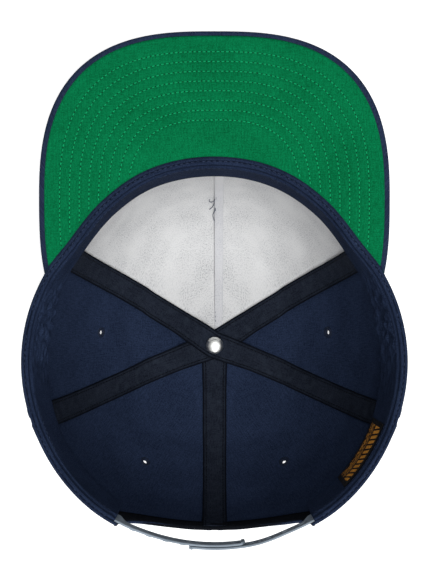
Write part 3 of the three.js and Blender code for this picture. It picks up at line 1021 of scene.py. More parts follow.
@dataclass(frozen=True)
class MetalFinish(Finish):
    """Plated metal with fine scratches and duller smears."""

    def inputs(self, n: Nodes) -> Inputs:
        """Draw the smears and scratches."""
        place = n.solid_place()
        scratches = n.noise(n.stretched(place, (1.0, 9.0, 1.0)), 900.0, 3.0)
        smears = n.ramp(n.noise(place, 420.0), 0.35, 0.7)
        return {
            "Base_Color": n.blend(smears, self.base, self.over),
            "Metallic": 1.0,
            "Roughness": n.scaled(smears, 0.16, 0.34),
            "Normal": n.relief(scratches, 0.00002),
        }


@dataclass(frozen=True)
class LabelFinish(Finish):
    """Satin with a woven pattern of plain slanted bars and broken fine lines."""

    length: float = 0.040
    height: float = 0.026
    bar_count: float = 13.0
    bar_slant: float = 2.2
    line_count: float = 15.0
    bar_span: tuple[float, float] = (0.1, 0.46)
    line_span: tuple[float, float] = (0.54, 0.9)
    width_span: tuple[float, float] = (0.07, 0.93)

    def inputs(self, n: Nodes) -> Inputs:
        """Draw the bars, the lines and the weave under them."""
        place = n.flat_place()
        axes = n.axes(place)
        u = n.math("DIVIDE", axes[0], self.length)
        v = n.math("DIVIDE", axes[1], self.height)
        slanted = n.scaled(u, self.bar_count, n.times(v, self.bar_slant))
        bars = n.math("GREATER_THAN", n.math("FRACT", slanted), 0.38)
        tall = self.between(n, v, *self.bar_span)
        lines = n.math("FRACT", n.times(v, self.line_count))
        lines = n.math("GREATER_THAN", lines, 0.45)
        broken = n.math("GREATER_THAN", n.noise(place, 520.0, 1.0), 0.46)
        fine = n.times(self.between(n, v, *self.line_span), lines)
        fine = n.times(fine, broken)
        motif = n.math("MAXIMUM", n.times(bars, tall), fine)
        motif = n.times(motif, self.between(n, u, *self.width_span))
        weave = n.add("ShaderNodeGroup", node_tree=Threads().group())
        n.feed(weave, Place=place, Pitch=0.0004, Slant=0.0, Unevenness=0.2)
        blotchy = n.scaled(weave.outputs["Shade"], 0.5, 0.5)
        return {
            "Base_Color": n.blend(n.times(motif, blotchy), self.base, self.over),
            "Roughness": n.scaled(motif, 0.2, 0.5),
            "Normal": n.relief(n.math("ADD", weave.outputs["Height"], motif), 0.00006),
            "Specular_IOR_Level": 0.08,
        }

    @staticmethod
    def between(n: Nodes, value: object, low: float, high: float) -> Socket:
        """Return 1 where a value lies between two limits, else 0."""
        above = n.math("GREATER_THAN", value, low)
        return n.times(above, n.math("LESS_THAN", value, high))


@dataclass(frozen=True)
class FloorFinish(Finish):
    """Pale paper that glows a little, as a light table does."""

    glow: float = 0.64

    def inputs(self, n: Nodes) -> Inputs:
        """Draw the faint clouds of the paper."""
        return {
            "Base_Color": n.blend(n.noise(n.solid_place(), 3.0), self.base, self.over),
            "Roughness": 0.9,
            "Emission_Color": (1.0, 1.0, 1.0, 1.0),
            "Emission_Strength": self.glow,
        }


@dataclass(frozen=True)
class Wardrobe:
    """All the cap's materials, built once."""

    navy: Material
    band: Material
    tape: Material
    binding: Material
    green: Material
    fleece: Material
    fold: Material
    navy_thread: Material
    dark_thread: Material
    eyelet_thread: Material
    green_thread: Material
    hole_shade: Material
    strap: Material
    metal: Material
    label: Material

    @classmethod
    def make(cls) -> "Wardrobe":
        """Build every material, in the order of the fields."""
        navy = ((0.0085, 0.0142, 0.033), (0.029, 0.0455, 0.095))
        band = ((0.0068, 0.0112, 0.026), (0.026, 0.041, 0.087))
        tape = WovenFinish(
            "seam_tape",
            (0.0064, 0.0089, 0.0155),
            (0.0245, 0.031, 0.0485),
            pitch=0.0005,
            slant=0.0,
            roughness=0.75,
            blotching=0.16,
            # A dark line along each of the tape's stitch rows
            shade_and_stitch_lines=(0.0049,),
            # Painted shadow along both edges of the tape, inside its half width
            half_width=0.0068,
        )
        finishes = (
            WovenFinish("navy_twill", *navy),
            # Painted shade lines on the rolled edge: in the groove at its seam and 2.7 mm to either
            # side
            WovenFinish("sweatband_twill", *band, shade_and_stitch_lines=(0.0, 0.0027)),
            tape,
            # Near black: the dark binding tape's own colour with painted shade of the arch's edge
            WovenFinish("arch_binding_tape_and_shade", (0.0035, 0.0042, 0.0062), (0.011, 0.0128, 0.0175)),
            WovenFinish("green_twill", (0.0008, 0.094, 0.03), (0.0025, 0.226, 0.08), pitch=0.0006),
            FleeceFinish("buckram", (0.86, 0.86, 0.855), (0.42, 0.428, 0.445)),
            FleeceFinish("seam_fold", (0.74, 0.74, 0.75), (0.48, 0.49, 0.53)),
            ThreadFinish("navy_thread", (0.016, 0.025, 0.055), (0.048, 0.072, 0.145)),
            ThreadFinish("dark_thread", (0.003, 0.004, 0.007), (0.011, 0.015, 0.024)),
            ThreadFinish("eyelet_thread", (0.005, 0.008, 0.018), (0.016, 0.026, 0.056)),
            ThreadFinish("green_thread", (0.001, 0.27, 0.095), (0.004, 0.52, 0.2)),
            # Painted shade: dark dashes that stand in for the needle holes between stitches
            ThreadFinish("needle_hole_shade", (0.0003, 0.022, 0.009), (0.0006, 0.045, 0.018)),
            StrapFinish("strap_plastic", (0.17, 0.215, 0.265), (0.33, 0.39, 0.46)),
            MetalFinish("rivet_metal", (0.98, 0.98, 0.95), (0.78, 0.79, 0.77)),
            LabelFinish("label_satin", (0.0095, 0.0085, 0.0075), (0.85, 0.36, 0.05)),
        )
        return cls(*(finish.build() for finish in finishes))


@dataclass
class Maker:
    """What each sub-assembly is made with."""

    room: Workroom
    crown: CrownForm
    wardrobe: Wardrobe


@dataclass(frozen=True)
class Gore:
    """One panel: its half of the cap, its kind and its seams' angles from the front."""

    side: Side
    kind: str
    start: float
    end: float

    def azimuth(self, angle: Array) -> Array:
        """Return the azimuths of angles from the front on the panel's side."""
        return FRONT + self.side.value * angle


@dataclass
class CrownShell(Maker):
    """The six panels with their seams, topstitching, eyelets and arch."""

    cloth: float = 1.4
    groove: float = 0.55
    stitch_offset: float = 5.2
    fold_size: float = 34.0
    front_folds: float = 0.12
    other_folds: float = 0.5
    eyelet_hole: float = 2.1
    eyelet_ring: float = 2.15
    rim_stitch_depth: float = 4.0
    rim_stitch_reach: float = 146.0
    binding: float = 0.3
    columns: int = 64
    rows: int = 96
    # Angle from the front and share of the rim's radius of each eyelet
    eyelets: tuple[tuple[str, float, float], ...] = (("side", 83.0, 0.651), ("back", 148.9, 0.769))

    def build(self) -> None:
        """Build the panels and all that is sewn to them."""
        crown = self.crown
        for side in Side:
            self.panel(Gore(side, "front", 0.0, crown.front_seam))
            self.panel(Gore(side, "side", crown.front_seam, crown.side_seam))
            self.panel(Gore(side, "back", crown.side_seam, HALF_TURN))
            for kind, angle, share in self.eyelets:
                self.eyelet(side, kind, angle, share)
        self.topstitching()
        self.arch_binding()

    def eyelet_place(self, side: Side, angle: float, share: float) -> tuple[float, float]:
        """Find an eyelet's middle.

        Args:
            side: The half of the cap.
            angle: Its angle from the front.
            share: Its plan radius as a share of the rim's.

        Returns:
            Its azimuth and turn.
        """
        azimuth = FRONT + side.value * angle
        return azimuth, float(self.crown.turn_at_radius(azimuth, share * self.crown.rim_radius))

    def panel(self, gore: Gore) -> None:
        """Build one panel.

        Args:
            gore: The panel.
        """
        side, kind = gore.side, gore.kind
        angle, turn, share = self.spread(gore)
        azimuth = gore.azimuth(angle)
        reach = self.crown.plan_radius(azimuth, turn) * np.radians(gore.end - gore.start)
        gap = np.minimum(share, 1.0 - share) * reach
        dip = self.groove * bump(gap, 0.9)
        swell = 0.25 * eased(gap / 1.5) * (1.0 - eased((gap - self.stitch_offset) / 1.2))
        pull = 0.16 * bump(gap - self.stitch_offset, 0.5)
        flat = self.flat(gore, angle, turn)
        seed = 11 + side.value + len(kind)
        folds = Ripples(seed, self.fold_size, 2.0).at(flat[..., 0] / MM, flat[..., 1] / MM)
        calm = self.front_folds if kind == "front" else self.other_folds
        calm = calm * eased(gap / 14.0) * eased(turn / 0.25) * (1.0 - eased((turn - 0.85) / 0.1))
        hem = 0.35 * (1.0 - eased(turn / 0.012))
        inset = dip - swell + pull + folds * calm + hem
        points = self.crown.layer(azimuth, turn, inset)
        points[:, 0, 2] = np.minimum(points[:, 0, 2], self.crown.rim_top(azimuth[:, 0]))
        points[..., 2] = np.maximum(points[..., 2], 0.0)
        name = f"{kind}_panel_{side.word}"
        obj = self.room.sheet(f"{name}_cloth", points, flat, turned=side is Side.LEFT)
        spots = [
            self.crown.layer(*self.eyelet_place(side, a, s), 0.0)
            for k, a, s in self.eyelets
            if k == kind
        ]
        if spots:
            self.room.pierce(obj, spots, self.eyelet_hole)
        self.room.thicken(obj, self.cloth)
        self.room.enter(obj, self.wardrobe.navy, Slot.NAVY, [name])

    def flat(self, gore: Gore, angle: Array, turn: Array) -> Array:
        """Lay a panel out flat by its lengths from its middle line and from the rim.

        Args:
            gore: The panel.
            angle: Angles from the front of its points.
            turn: Their turns.

        Returns:
            Flat places in metres.
        """
        steps = shares(199)
        middle = (gore.start + gore.end) / 2.0
        line = self.crown.point(np.full(steps.shape, gore.azimuth(middle)), steps)
        radius = self.crown.plan_radius(gore.azimuth(angle), turn)
        u = radius * np.radians(angle - middle)
        return np.stack([u, np.interp(turn, steps, lengths(line))], axis=-1) * MM

    def spread(self, gore: Gore) -> tuple[Array, Array, Array]:
        """Spread a panel's grid over the crown, for a back panel from the arch on.

        Args:
            gore: The panel.

        Returns:
            Angles from the front, turns, and shares of the way from seam to seam.
        """
        start, end = gore.start, gore.end
        share = shares(self.columns)
        first_angle = mixed(start, end, share)
        first_turn = np.zeros_like(share)
        if gore.kind == "back":
            first_angle, first_turn, share = self.arch_edge(start, end)
        v = shares(self.rows)[None, :]
        azimuth = gore.azimuth(mixed(start, end, share))
        last_turn = self.crown.turn_at_radius(azimuth, self.crown.shank_hole)
        turn = mixed(first_turn[:, None], last_turn[:, None], v)
        low = self.crown.seam_angle(start, turn)
        high = self.crown.seam_angle(end, turn)
        base = mixed(low, high, share[:, None])
        pull = (first_angle - mixed(start, end, share))[:, None]
        angle = base + pull * (1.0 - eased(v * 2.2))
        return angle, turn, np.broadcast_to(share[:, None], angle.shape)

    def arch_edge(self, start: float, end: float) -> tuple[Array, Array, Array]:
        """Find a back panel's lower edge: the rim first, then round the arch.

        Args:
            start: Angle from the front of its side seam.
            end: Angle from the front of its back seam.

        Returns:
            For each column its angle, turn and share at the edge.
        """
        along_rim = self.columns // 3
        corner = float(self.crown.back_angle(self.crown.arch_half_width, 0.0))
        rim = np.linspace(start, corner, along_rim, endpoint=False)
        round_arch = np.linspace(0.0, math.pi / 2.0, self.columns + 1 - along_rim)
        width = self.crown.arch_half_width * np.cos(round_arch)
        depth = self.crown.arch_height * np.sin(round_arch)
        arch = self.crown.back_angle(width, depth)
        arch[-1] = end
        angle = np.concatenate([rim, arch])
        arch_turn = self.crown.turn_at_depth(FRONT + arch, depth)
        turn = np.concatenate([np.zeros(along_rim), arch_turn])
        share = (angle - start) / (end - start)
        return angle, turn, mixed(share, shares(self.columns), 0.35)

    def eyelet(self, side: Side, kind: str, angle: float, share: float) -> None:
        """Build a sewn eyelet: a ring of thread round a small hole.

        Args:
            side: The half of the cap.
            kind: side or back.
            angle: Its angle from the front.
            share: Its plan radius as a share of the rim's.
        """
        azimuth, turn = self.eyelet_place(side, angle, share)
        inward = self.crown.inward(azimuth, turn)
        middle = self.crown.point(azimuth, turn) + inward * self.cloth / 2.0
        across = unit(np.cross(inward, np.array([0.0, 0.0, 1.0])))
        along = np.cross(inward, across)
        round_ring = np.linspace(0.0, ROUND, 145)[:, None]
        section = np.linspace(0.0, ROUND, 17)[None, :]
        thread = 0.09 * np.abs(np.sin(round_ring * 13.0))
        radius = self.eyelet_ring + (0.98 + thread) * np.cos(section)
        height = (1.0 + thread) * np.sin(section)
        x, y = radius * np.cos(round_ring), radius * np.sin(round_ring)
        grid = middle + x[..., None] * across + y[..., None] * along + height[..., None] * inward
        name = f"eyelet_{kind}_{side.word}"
        obj = self.room.sheet(f"{name}_thread", grid, surface_uv(grid))
        self.room.weld(obj)
        self.room.enter(obj, self.wardrobe.eyelet_thread, Slot.NAVY, [name])

    def topstitching(self) -> None:
        """Sew both sides of each seam and all round the rim, on the outside."""
        crown = self.crown
        rows = []
        seams = [(0.0, 0.0), (HALF_TURN, 0.42)]
        seams += [(s.value * a, 0.0) for s in Side for a in (crown.front_seam, crown.side_seam)]
        for angle, first in seams:
            turn = np.linspace(first + 0.02, 0.93, 180)
            middle = FRONT + crown.seam_angle(angle, turn)
            swing = np.degrees(self.stitch_offset / crown.plan_radius(middle, turn))
            for hand in (-1.0, 1.0):
                azimuth = middle + hand * swing
                rows.append((crown.layer(azimuth, turn, -0.02), -crown.inward(azimuth, turn)))
        azimuth = FRONT + np.linspace(-self.rim_stitch_reach, self.rim_stitch_reach, 700)
        turn = crown.turn_at_depth(azimuth, self.rim_stitch_depth)
        rows.append((crown.layer(azimuth, turn, -0.02), -crown.inward(azimuth, turn)))
        rows.extend(self.arch_rows())
        needle = Needlework(self.room)
        needle.sew("crown_topstitching", rows, self.wardrobe.navy_thread, Slot.NAVY)

    def arch_line(self, margin: float, inset: float) -> tuple[Array, Array]:
        """Follow the arch's edge at a distance, from one corner to the other.

        Args:
            margin: Distance outside the opening.
            inset: Depth inside the outer face.

        Returns:
            The path and the directions out of the cloth.
        """
        sweep = np.linspace(0.03, math.pi - 0.03, 240)
        width = (self.crown.arch_half_width + margin) * np.cos(sweep)
        depth = (self.crown.arch_height + margin) * np.sin(sweep)
        angle = self.crown.back_angle(np.abs(width), depth)
        azimuth = FRONT + np.sign(width) * angle
        turn = self.crown.turn_at_depth(azimuth, depth)
        return self.crown.layer(azimuth, turn, inset), -self.crown.inward(azimuth, turn)

    def arch_rows(self) -> list[Path]:
        """Return the two stitch rows round the arch."""
        return [self.arch_line(margin, -0.02) for margin in (1.8, 7.2)]

    def arch_binding(self) -> None:
        """Bind the arch's edge with a strip folded over it, near black: a dark tape with painted
        shade.
        """
        path = [(7.8, 2.1), (5.0, 2.2), (1.6, 2.2), (0.2, 1.9), (-0.45, 1.2), (-0.5, 0.6)]
        path += [(-0.2, -0.05), (0.6, -0.28), (1.0, -0.2)]
        lines = [self.arch_line(margin, inset)[0] for margin, inset in path]
        points = np.stack(lines, axis=1)
        obj = self.room.sheet("arch_binding", points, surface_uv(points), turned=True)
        self.room.thicken(obj, self.binding)
        self.room.enter(obj, self.wardrobe.binding, Slot.TAPE)


@dataclass
class FrontLining(Maker):
    """The white stiffening of the two front panels, with its turned seam."""

    inset: float = 1.85
    thickness: float = 0.6
    start: float = 5.0
    strip_inset: float = 2.75
    strip_width: float = 5.3
    strip_start: float = 39.0
    strip_end_radius: float = 8.2
    strip_thickness: float = 0.35
    end_radius: float = 3.4
    fold_turn: float = 0.35
    columns: int = 56
    rows: int = 110

    def build(self) -> None:
        """Build both halves, the seam fold and its thread."""
        for side in Side:
            self.half(side)
        self.seam_fold()
        self.seam_thread()

    def half(self, side: Side) -> None:
        """Build the lining of one front panel.

        Args:
            side: The half of the cap.
        """
        crown = self.crown
        share = shares(self.columns)[:, None]
        v = shares(self.rows)[None, :]
        azimuth = FRONT + side.value * crown.front_seam * share
        first = crown.turn_at_depth(azimuth, self.start)
        last = crown.turn_at_radius(azimuth, self.end_radius)
        turn = mixed(first, last, v)
        azimuth = FRONT + side.value * crown.seam_angle(crown.front_seam, turn) * share
        points = crown.layer(azimuth, turn, self.inset + self.thickness)
        flat = surface_uv(points, origin=0)
        folds = Ripples(31 + side.value, 26.0).at(flat[..., 0] / MM, flat[..., 1] / MM)
        gap = share * crown.plan_radius(azimuth, turn) * math.radians(crown.front_seam)
        pinch = (0.05 + 0.25 * eased((turn - self.fold_turn) / 0.08)) * bump(gap, 1.3)
        lift = 0.18 * folds * eased(gap / 9.0) * (1.0 - eased((turn - 0.8) / 0.12))
        points = crown.layer(azimuth, turn, self.inset + self.thickness - pinch + lift)
        name = f"buckram_{side.word}"
        obj = self.room.sheet(f"{name}_fleece", points, flat, turned=side is Side.RIGHT)
        self.room.thicken(obj, self.thickness)
        self.room.enter(obj, self.wardrobe.fleece, Slot.BUCKRAM, [name])

    def seam_fold(self) -> None:
        """Build the seam allowance that is turned to the right of the seam."""
        crown = self.crown
        v = shares(120)[None, :]
        w = shares(12)[:, None]
        first = float(crown.turn_at_depth(FRONT, self.strip_start))
        last = float(crown.turn_at_radius(FRONT, self.strip_end_radius))
        turn = mixed(first, last, v)
        radius = crown.plan_radius(FRONT, turn)
        width = np.minimum(self.strip_width, radius * 0.9) * (1.0 - 0.12 * v)
        azimuth = FRONT - np.degrees(width * w / radius)
        risen = 0.15 + 0.85 * eased((turn - self.fold_turn) / 0.05)
        crest = 0.5 * risen * np.sin(math.pi * np.clip(0.08 + w * 0.84, 0.0, 1.0)) ** 0.5
        wave = Ripples(5, 18.0).at(w * 3.0, v * 90.0) * 0.07 * risen
        tucked = 0.9 * eased((v - 0.82) / 0.12)
        points = crown.layer(azimuth, turn, self.strip_inset + crest + wave + 0.2 * risen - tucked)
        obj = self.room.sheet("seam_fold", points, surface_uv(points), turned=True)
        self.room.thicken(obj, self.strip_thickness)
        self.room.enter(obj, self.wardrobe.fold, Slot.BUCKRAM, ["front_seam_strip"])

    def seam_thread(self) -> None:
        """Sew the front seam with navy thread that shows inside, with loose ends."""
        crown = self.crown
        depth = self.inset + self.thickness
        turn = np.linspace(self.fold_turn + 0.04, 0.93, 160)
        azimuth = FRONT - np.degrees(0.5 / crown.plan_radius(FRONT, turn))
        row = (crown.layer(azimuth, turn, depth + 0.1), crown.inward(azimuth, turn))
        needle = Needlework(self.room, length=1.3, gap=1.3, width=0.3, height=0.25)
        needle.sew("front_seam_thread", [row], self.wardrobe.navy_thread, Slot.NAVY)
        self.thread_ends(depth)

    def thread_ends(self, depth: float) -> None:
        """Leave short loose thread ends where the seam's stitching starts.

        Args:
            depth: Depth of the lining's face inside the crown's outer one.
        """
        curves = bpy.data.curves.new("thread_ends", "CURVE")
        curves.dimensions = "3D"
        curves.bevel_depth = 0.17 * MM
        curves.bevel_resolution = 2
        # Places across the seam and down from the rim of each loose end
        ends = (
            ((0.4, 79.0), (-0.4, 83.0), (-2.2, 85.0), (-3.1, 81.5)),
            ((0.2, 84.0), (-0.7, 87.5), (-1.6, 90.0), (-3.0, 91.0)),
            ((0.3, 88.0), (0.0, 92.0), (-1.0, 96.0), (-0.2, 99.0)),
            ((0.5, 76.0), (0.9, 80.0), (0.2, 86.0), (0.6, 92.0)),
        )
        for path in ends:
            spline = curves.splines.new("BEZIER")
            spline.bezier_points.add(len(path) - 1)
            for k, (x, down) in enumerate(path):
                turn = self.crown.turn_at_depth(FRONT, down)
                radius = float(self.crown.plan_radius(FRONT, turn))
                azimuth = FRONT - math.degrees(x / radius)
                lift = depth + 0.35 + 0.5 * (k % 2)
                knot = spline.bezier_points[k]
                knot.co = Vector(self.room.frame.place(self.crown.layer(azimuth, turn, lift)))
                knot.handle_left_type = knot.handle_right_type = "AUTO"
        obj = bpy.data.objects.new("thread_ends", curves)
        bpy.context.scene.collection.objects.link(obj)
        graph = bpy.context.evaluated_depsgraph_get()
        mesh = bpy.data.meshes.new_from_object(obj.evaluated_get(graph))
        bpy.data.objects.remove(obj)
        bpy.data.curves.remove(curves)
        made = self.room.link("thread_ends", mesh)
        self.room.enter(made, self.wardrobe.navy_thread, Slot.NAVY)


@dataclass(frozen=True)
class TapeLine:
    """A tape's way: down one seam to the apex and, if it has one, up another."""

    name: str
    nodes: tuple[str, ...]
    seams: tuple[float, ...]
    insets: tuple[float, ...]
    crossing: float


@dataclass
class SeamTapes(Maker):
    """The dark tapes over the seams, which cross under the rivet."""

    width: float = 13.6
    thickness: float = 0.45
    start: float = 5.0
    edge_stitch: float = 1.9
    end_radius: float = 1.2
    columns: int = 26

    def build(self) -> None:
        """Build both crossing tapes, the back tape and their edge stitches."""
        crown = self.crown
        front, side = crown.front_seam, crown.side_seam
        lines = (
            TapeLine("seam_tape_back", ("tape_back",), (HALF_TURN,), (1.9,), 1.9),
            TapeLine(
                "seam_tape_lower",
                ("tape_front_right", "tape_side_left"),
                (-front, side),
                (3.0, 1.9),
                2.6,
            ),
            TapeLine(
                "seam_tape_upper",
                ("tape_front_left", "tape_side_right"),
                (front, -side),
                (3.0, 1.9),
                3.3,
            ),
        )
        rows = []
        for line in lines:
            points = self.tape(line)
            edge = self.edge_stitch / self.width * self.columns
            for place in (edge, self.columns - edge):
                low = int(place)
                path = mixed(points[low], points[low + 1], place - low)[6:-4]
                over = points[low + 1, 6:-4] - points[low, 6:-4]
                ahead = np.gradient(path, axis=0)
                up = unit(np.cross(ahead, over))
                middle = np.array([0.0, 0.0, crown.rim_height])
                up = up * np.sign(np.sum(up * (middle - path), axis=-1, keepdims=True))
                rows.append((path + up * 0.02, up))
        needle = Needlework(self.room, length=1.5, gap=0.8, width=0.3, height=0.22)
        needle.sew("tape_stitching", rows, self.wardrobe.dark_thread, Slot.TAPE)

    def centre(self, line: TapeLine) -> tuple[Array, Array, Array]:
        """Follow a tape's middle line.

        Args:
            line: The tape.

        Returns:
            Azimuths, turns and insets along it.
        """
        crown = self.crown
        parts = []
        for index, (angle, inset) in enumerate(zip(line.seams, line.insets)):
            azimuth = FRONT + angle
            start = self.crown.arch_height + 0.4 if abs(angle) == HALF_TURN else self.start
            first = float(crown.turn_at_depth(azimuth, start))
            last = float(crown.turn_at_radius(azimuth, self.end_radius))
            turn = np.linspace(first, last, 110)
            middle = FRONT + crown.seam_angle(angle, turn)
            radius = crown.plan_radius(middle, turn)
            height = mixed(line.crossing, inset, eased((radius - 9.0) / 16.0))
            part = np.stack([middle, turn, height])
            parts.append(part if index == 0 else part[:, ::-1])
        if len(parts) == 1:
            return tuple(parts[0])
        return tuple(np.concatenate(parts, axis=1))

    def tape(self, line: TapeLine) -> Array:
        """Build one tape.

        Args:
            line: The tape.

        Returns:
            Its grid of points, across by along.
        """
        crown = self.crown
        azimuth, turn, inset = self.centre(line)
        radius = crown.plan_radius(azimuth, turn)
        across = np.linspace(-0.5, 0.5, self.columns + 1)[:, None] * self.width
        swing = np.degrees(across / np.maximum(radius, 12.0))
        wall = azimuth + swing * self.hand(line, len(azimuth))
        plan = np.stack(polar(azimuth, radius), axis=-1)
        way = unit(np.gradient(self.smoothed(plan), axis=0))
        normal = np.stack([way[:, 1], -way[:, 0]], axis=-1)
        spot = plan[None] + across[..., None] * normal[None]
        far = np.maximum(np.hypot(spot[..., 0], spot[..., 1]), 0.35)
        around = azimuth_of(spot[..., 0], spot[..., 1])
        near_turn = crown.turn_at_radius(around, far)
        flat = np.stack(np.broadcast_arrays(across, self.run(plan, turn)), axis=-1)
        seed = 40 + len(line.name)
        folds = Ripples(seed, 17.0, 0.6).at(flat[..., 1], flat[..., 0])
        creases = Ripples(seed + 1, 6.5, 2.2).at(flat[..., 1], flat[..., 0] * 0.6)
        blotchy = bump(radius - 22.0, 20.0)[None]
        relief = np.maximum(0.16 * folds + 0.34 * creases * blotchy, -0.15)
        height = inset[None] + self.thickness + relief
        edge = np.abs(across) / (self.width / 2.0)
        height = height - 0.2 * bump(edge - 0.84, 0.06)
        top = crown.layer(around, near_turn, height)
        low = crown.layer(wall, np.broadcast_to(turn, wall.shape), height)
        points = mixed(top, low, eased((radius - 44.0) / 18.0)[None, :, None])
        obj = self.room.sheet(line.name, points, flat * MM)
        self.room.thicken(obj, self.thickness)
        self.room.enter(obj, self.wardrobe.tape, Slot.TAPE, line.nodes)
        return points

    @staticmethod
    def hand(line: TapeLine, count: int) -> Array:
        """Return 1 on a tape's way in to the apex and -1 on its way out."""
        first = count if len(line.seams) == 1 else count // 2
        return np.where(np.arange(count) < first, 1.0, -1.0)[None]

    @staticmethod
    def smoothed(plan: Array) -> Array:
        """Round a path's corner at the apex.

        Args:
            plan: The path in plan.

        Returns:
            The rounded path.
        """
        kernel = np.hanning(15)
        kernel = kernel / kernel.sum()
        wide = np.pad(plan, ((7, 7), (0, 0)), mode="reflect", reflect_type="odd")
        return np.stack([np.convolve(wide[:, k], kernel, mode="valid") for k in (0, 1)], axis=-1)

    def run(self, plan: Array, turn: Array) -> Array:
        """Return lengths along a tape's middle line, one row."""
        return lengths(self.crown.point(azimuth_of(plan[:, 0], plan[:, 1]), turn))[None]


def closed_curve(knots: Sequence[tuple[float, float]], count: int) -> Array:
    """Run a smooth closed curve through knots.

    Args:
        knots: Places in a plane.
        count: Number of points on the curve.

    Returns:
        Points at even lengths, the last one on the first.
    """
    p = np.asarray(knots, dtype=float)
    before, after, beyond = np.roll(p, 1, 0), np.roll(p, -1, 0), np.roll(p, -2, 0)
    t = np.linspace(0.0, 1.0, 24, endpoint=False)[None, :, None]
    a, b, c, d = (q[:, None, :] for q in (before, p, after, beyond))
    curve = 0.5 * (
        2.0 * b + (c - a) * t + (2.0 * a - 5.0 * b + 4.0 * c - d) * t**2
        + (3.0 * b - a - 3.0 * c + d) * t**3
    )
    curve = curve.reshape(-1, 2)
    curve = np.vstack([curve, curve[:1]])
    run = lengths(curve)
    even = np.linspace(0.0, run[-1], count)
    return np.stack([np.interp(even, run, curve[:, k]) for k in (0, 1)], axis=-1)


@dataclass
class Sweatband(Maker):
    """The sweatband: a rolled edge over the rim and a band that lines the wall."""

    groove: float = 2.3
    wall_radius: float = 97.0
    gather_angle: float = 79.0
    gather_spread: float = 15.0
    gather_height: float = 0.95
    hem_inset: float = 5.42
    hem_depth: float = 3.4
    columns: int = 500
    section_points: int = 160
    # Inset and depth of the section's knots, from the hidden side over the roll and down the band
    section: tuple[tuple[float, float], ...] = (
        *((4.1, 33.0), (4.1, 20.0), (4.1, 6.0), (3.9, 2.0), (3.0, 0.9), (1.4, 0.7), (0.75, 0.1)),
        *((0.6, -0.9), (1.2, -1.75), (2.3, -1.95), (3.4, -1.7), (4.1, -0.9), (4.45, 0.3)),
        *((4.75, 1.2), (5.3, 1.6), (5.5, 3.2), (5.35, 8.0), (5.3, 20.0), (5.3, 31.6)),
        *((5.0, 33.4), (4.4, 33.5)),
    )

    def build(self) -> None:
        """Build the band and its stitches."""
        crown = self.crown
        half = (self.crown.arch_half_width + 1.2) / float(crown.rim_at(FRONT + HALF_TURN))
        reach = HALF_TURN - math.degrees(math.asin(half))
        section = closed_curve(self.section, self.section_points)
        azimuth = FRONT + np.linspace(-reach, reach, self.columns + 1)[:, None]
        inset, depth = section[None, :, 0], section[None, :, 1]
        length = np.radians(azimuth - FRONT) * self.wall_radius
        folds = Ripples(71, 60.0).at(length, depth)
        angle = crown.from_front(azimuth)
        gathered = bump(angle - self.gather_angle, self.gather_spread)
        fine = Ripples(73, 3.9, 3.2, 14).at(length, depth)
        deep = eased((depth - 1.0) / 4.0) * (inset > 4.6)
        inset = inset + deep * (0.28 * folds + gathered * (self.gather_height * fine + 0.3))
        at_visor = 1.0 - eased((angle - crown.visor_seam + 3.0) / 6.0)
        inset = inset - 0.6 * at_visor * (1.0 - eased((inset - 0.5) / 1.6))
        depth = depth - 0.55 * at_visor * (depth > -0.6) * (inset < 3.6)
        rolled = (depth < 1.4) & (inset > 0.7)
        lift = 0.1 * Ripples(75, 5.0, 1.5).at(length, inset) + 0.16 * gathered * fine
        pull = self.sunk(angle) * bump(inset - self.groove, 0.5)
        depth = depth - rolled * (lift - pull)
        from_end = np.radians(reach - angle) * crown.rim_radius
        bunched = bump(from_end - 3.2, 2.6) * Ripples(77, 3.0).at(length, inset)
        closed = (1.0 - eased(from_end / 1.6)) ** 2 * (depth < 2.0)
        depth = depth - 0.35 * bunched * rolled + 0.8 * closed * (depth < 0.0)
        inset = mixed(inset, 3.0, 0.4 * closed) - 0.35 * bunched * (inset > 3.4) * (depth < 6.0)
        points = crown.rim_point(azimuth, depth, inset)
        corner = eased((angle - 146.0) / 4.0)
        points[..., 2] += 0.5 * corner * (depth < 0.0)
        run = lengths(section)
        crest = np.argmin(np.abs(section[:, 0] - self.groove) + 10.0 * (section[:, 1] > -1.0))
        across = (run - run[crest])[None]
        flat = np.stack(np.broadcast_arrays(across, length), axis=-1) * MM
        obj = self.room.sheet("sweatband_cloth", points, flat)
        self.room.weld(obj)
        self.room.enter(obj, self.wardrobe.band, Slot.BAND, ["sweatband"])
        azimuth = FRONT + np.linspace(-reach + 1.0, reach - 1.0, 1100)
        rows = []
        sunk = self.sunk(crown.from_front(azimuth))
        for inset, depth in ((self.groove, sunk - 1.98), (self.hem_inset, self.hem_depth)):
            path = crown.rim_point(azimuth, depth, inset)
            up = np.array([[0.0, 0.0, 1.0]]) if inset < 3.0 else crown.inward(azimuth, 0.02)
            rows.append((path, np.broadcast_to(up, path.shape)))
        needle = Needlework(self.room, length=1.9, gap=0.9, width=0.38, height=0.3)
        needle.sew("sweatband_stitching", rows, self.wardrobe.navy_thread, Slot.BAND)

    @staticmethod
    def sunk(angle: Array) -> Array:
        """Return how deep the seam in the roll's groove lies, less over the visor."""
        return 0.4 + 0.75 * eased((angle - 62.0) / 20.0)


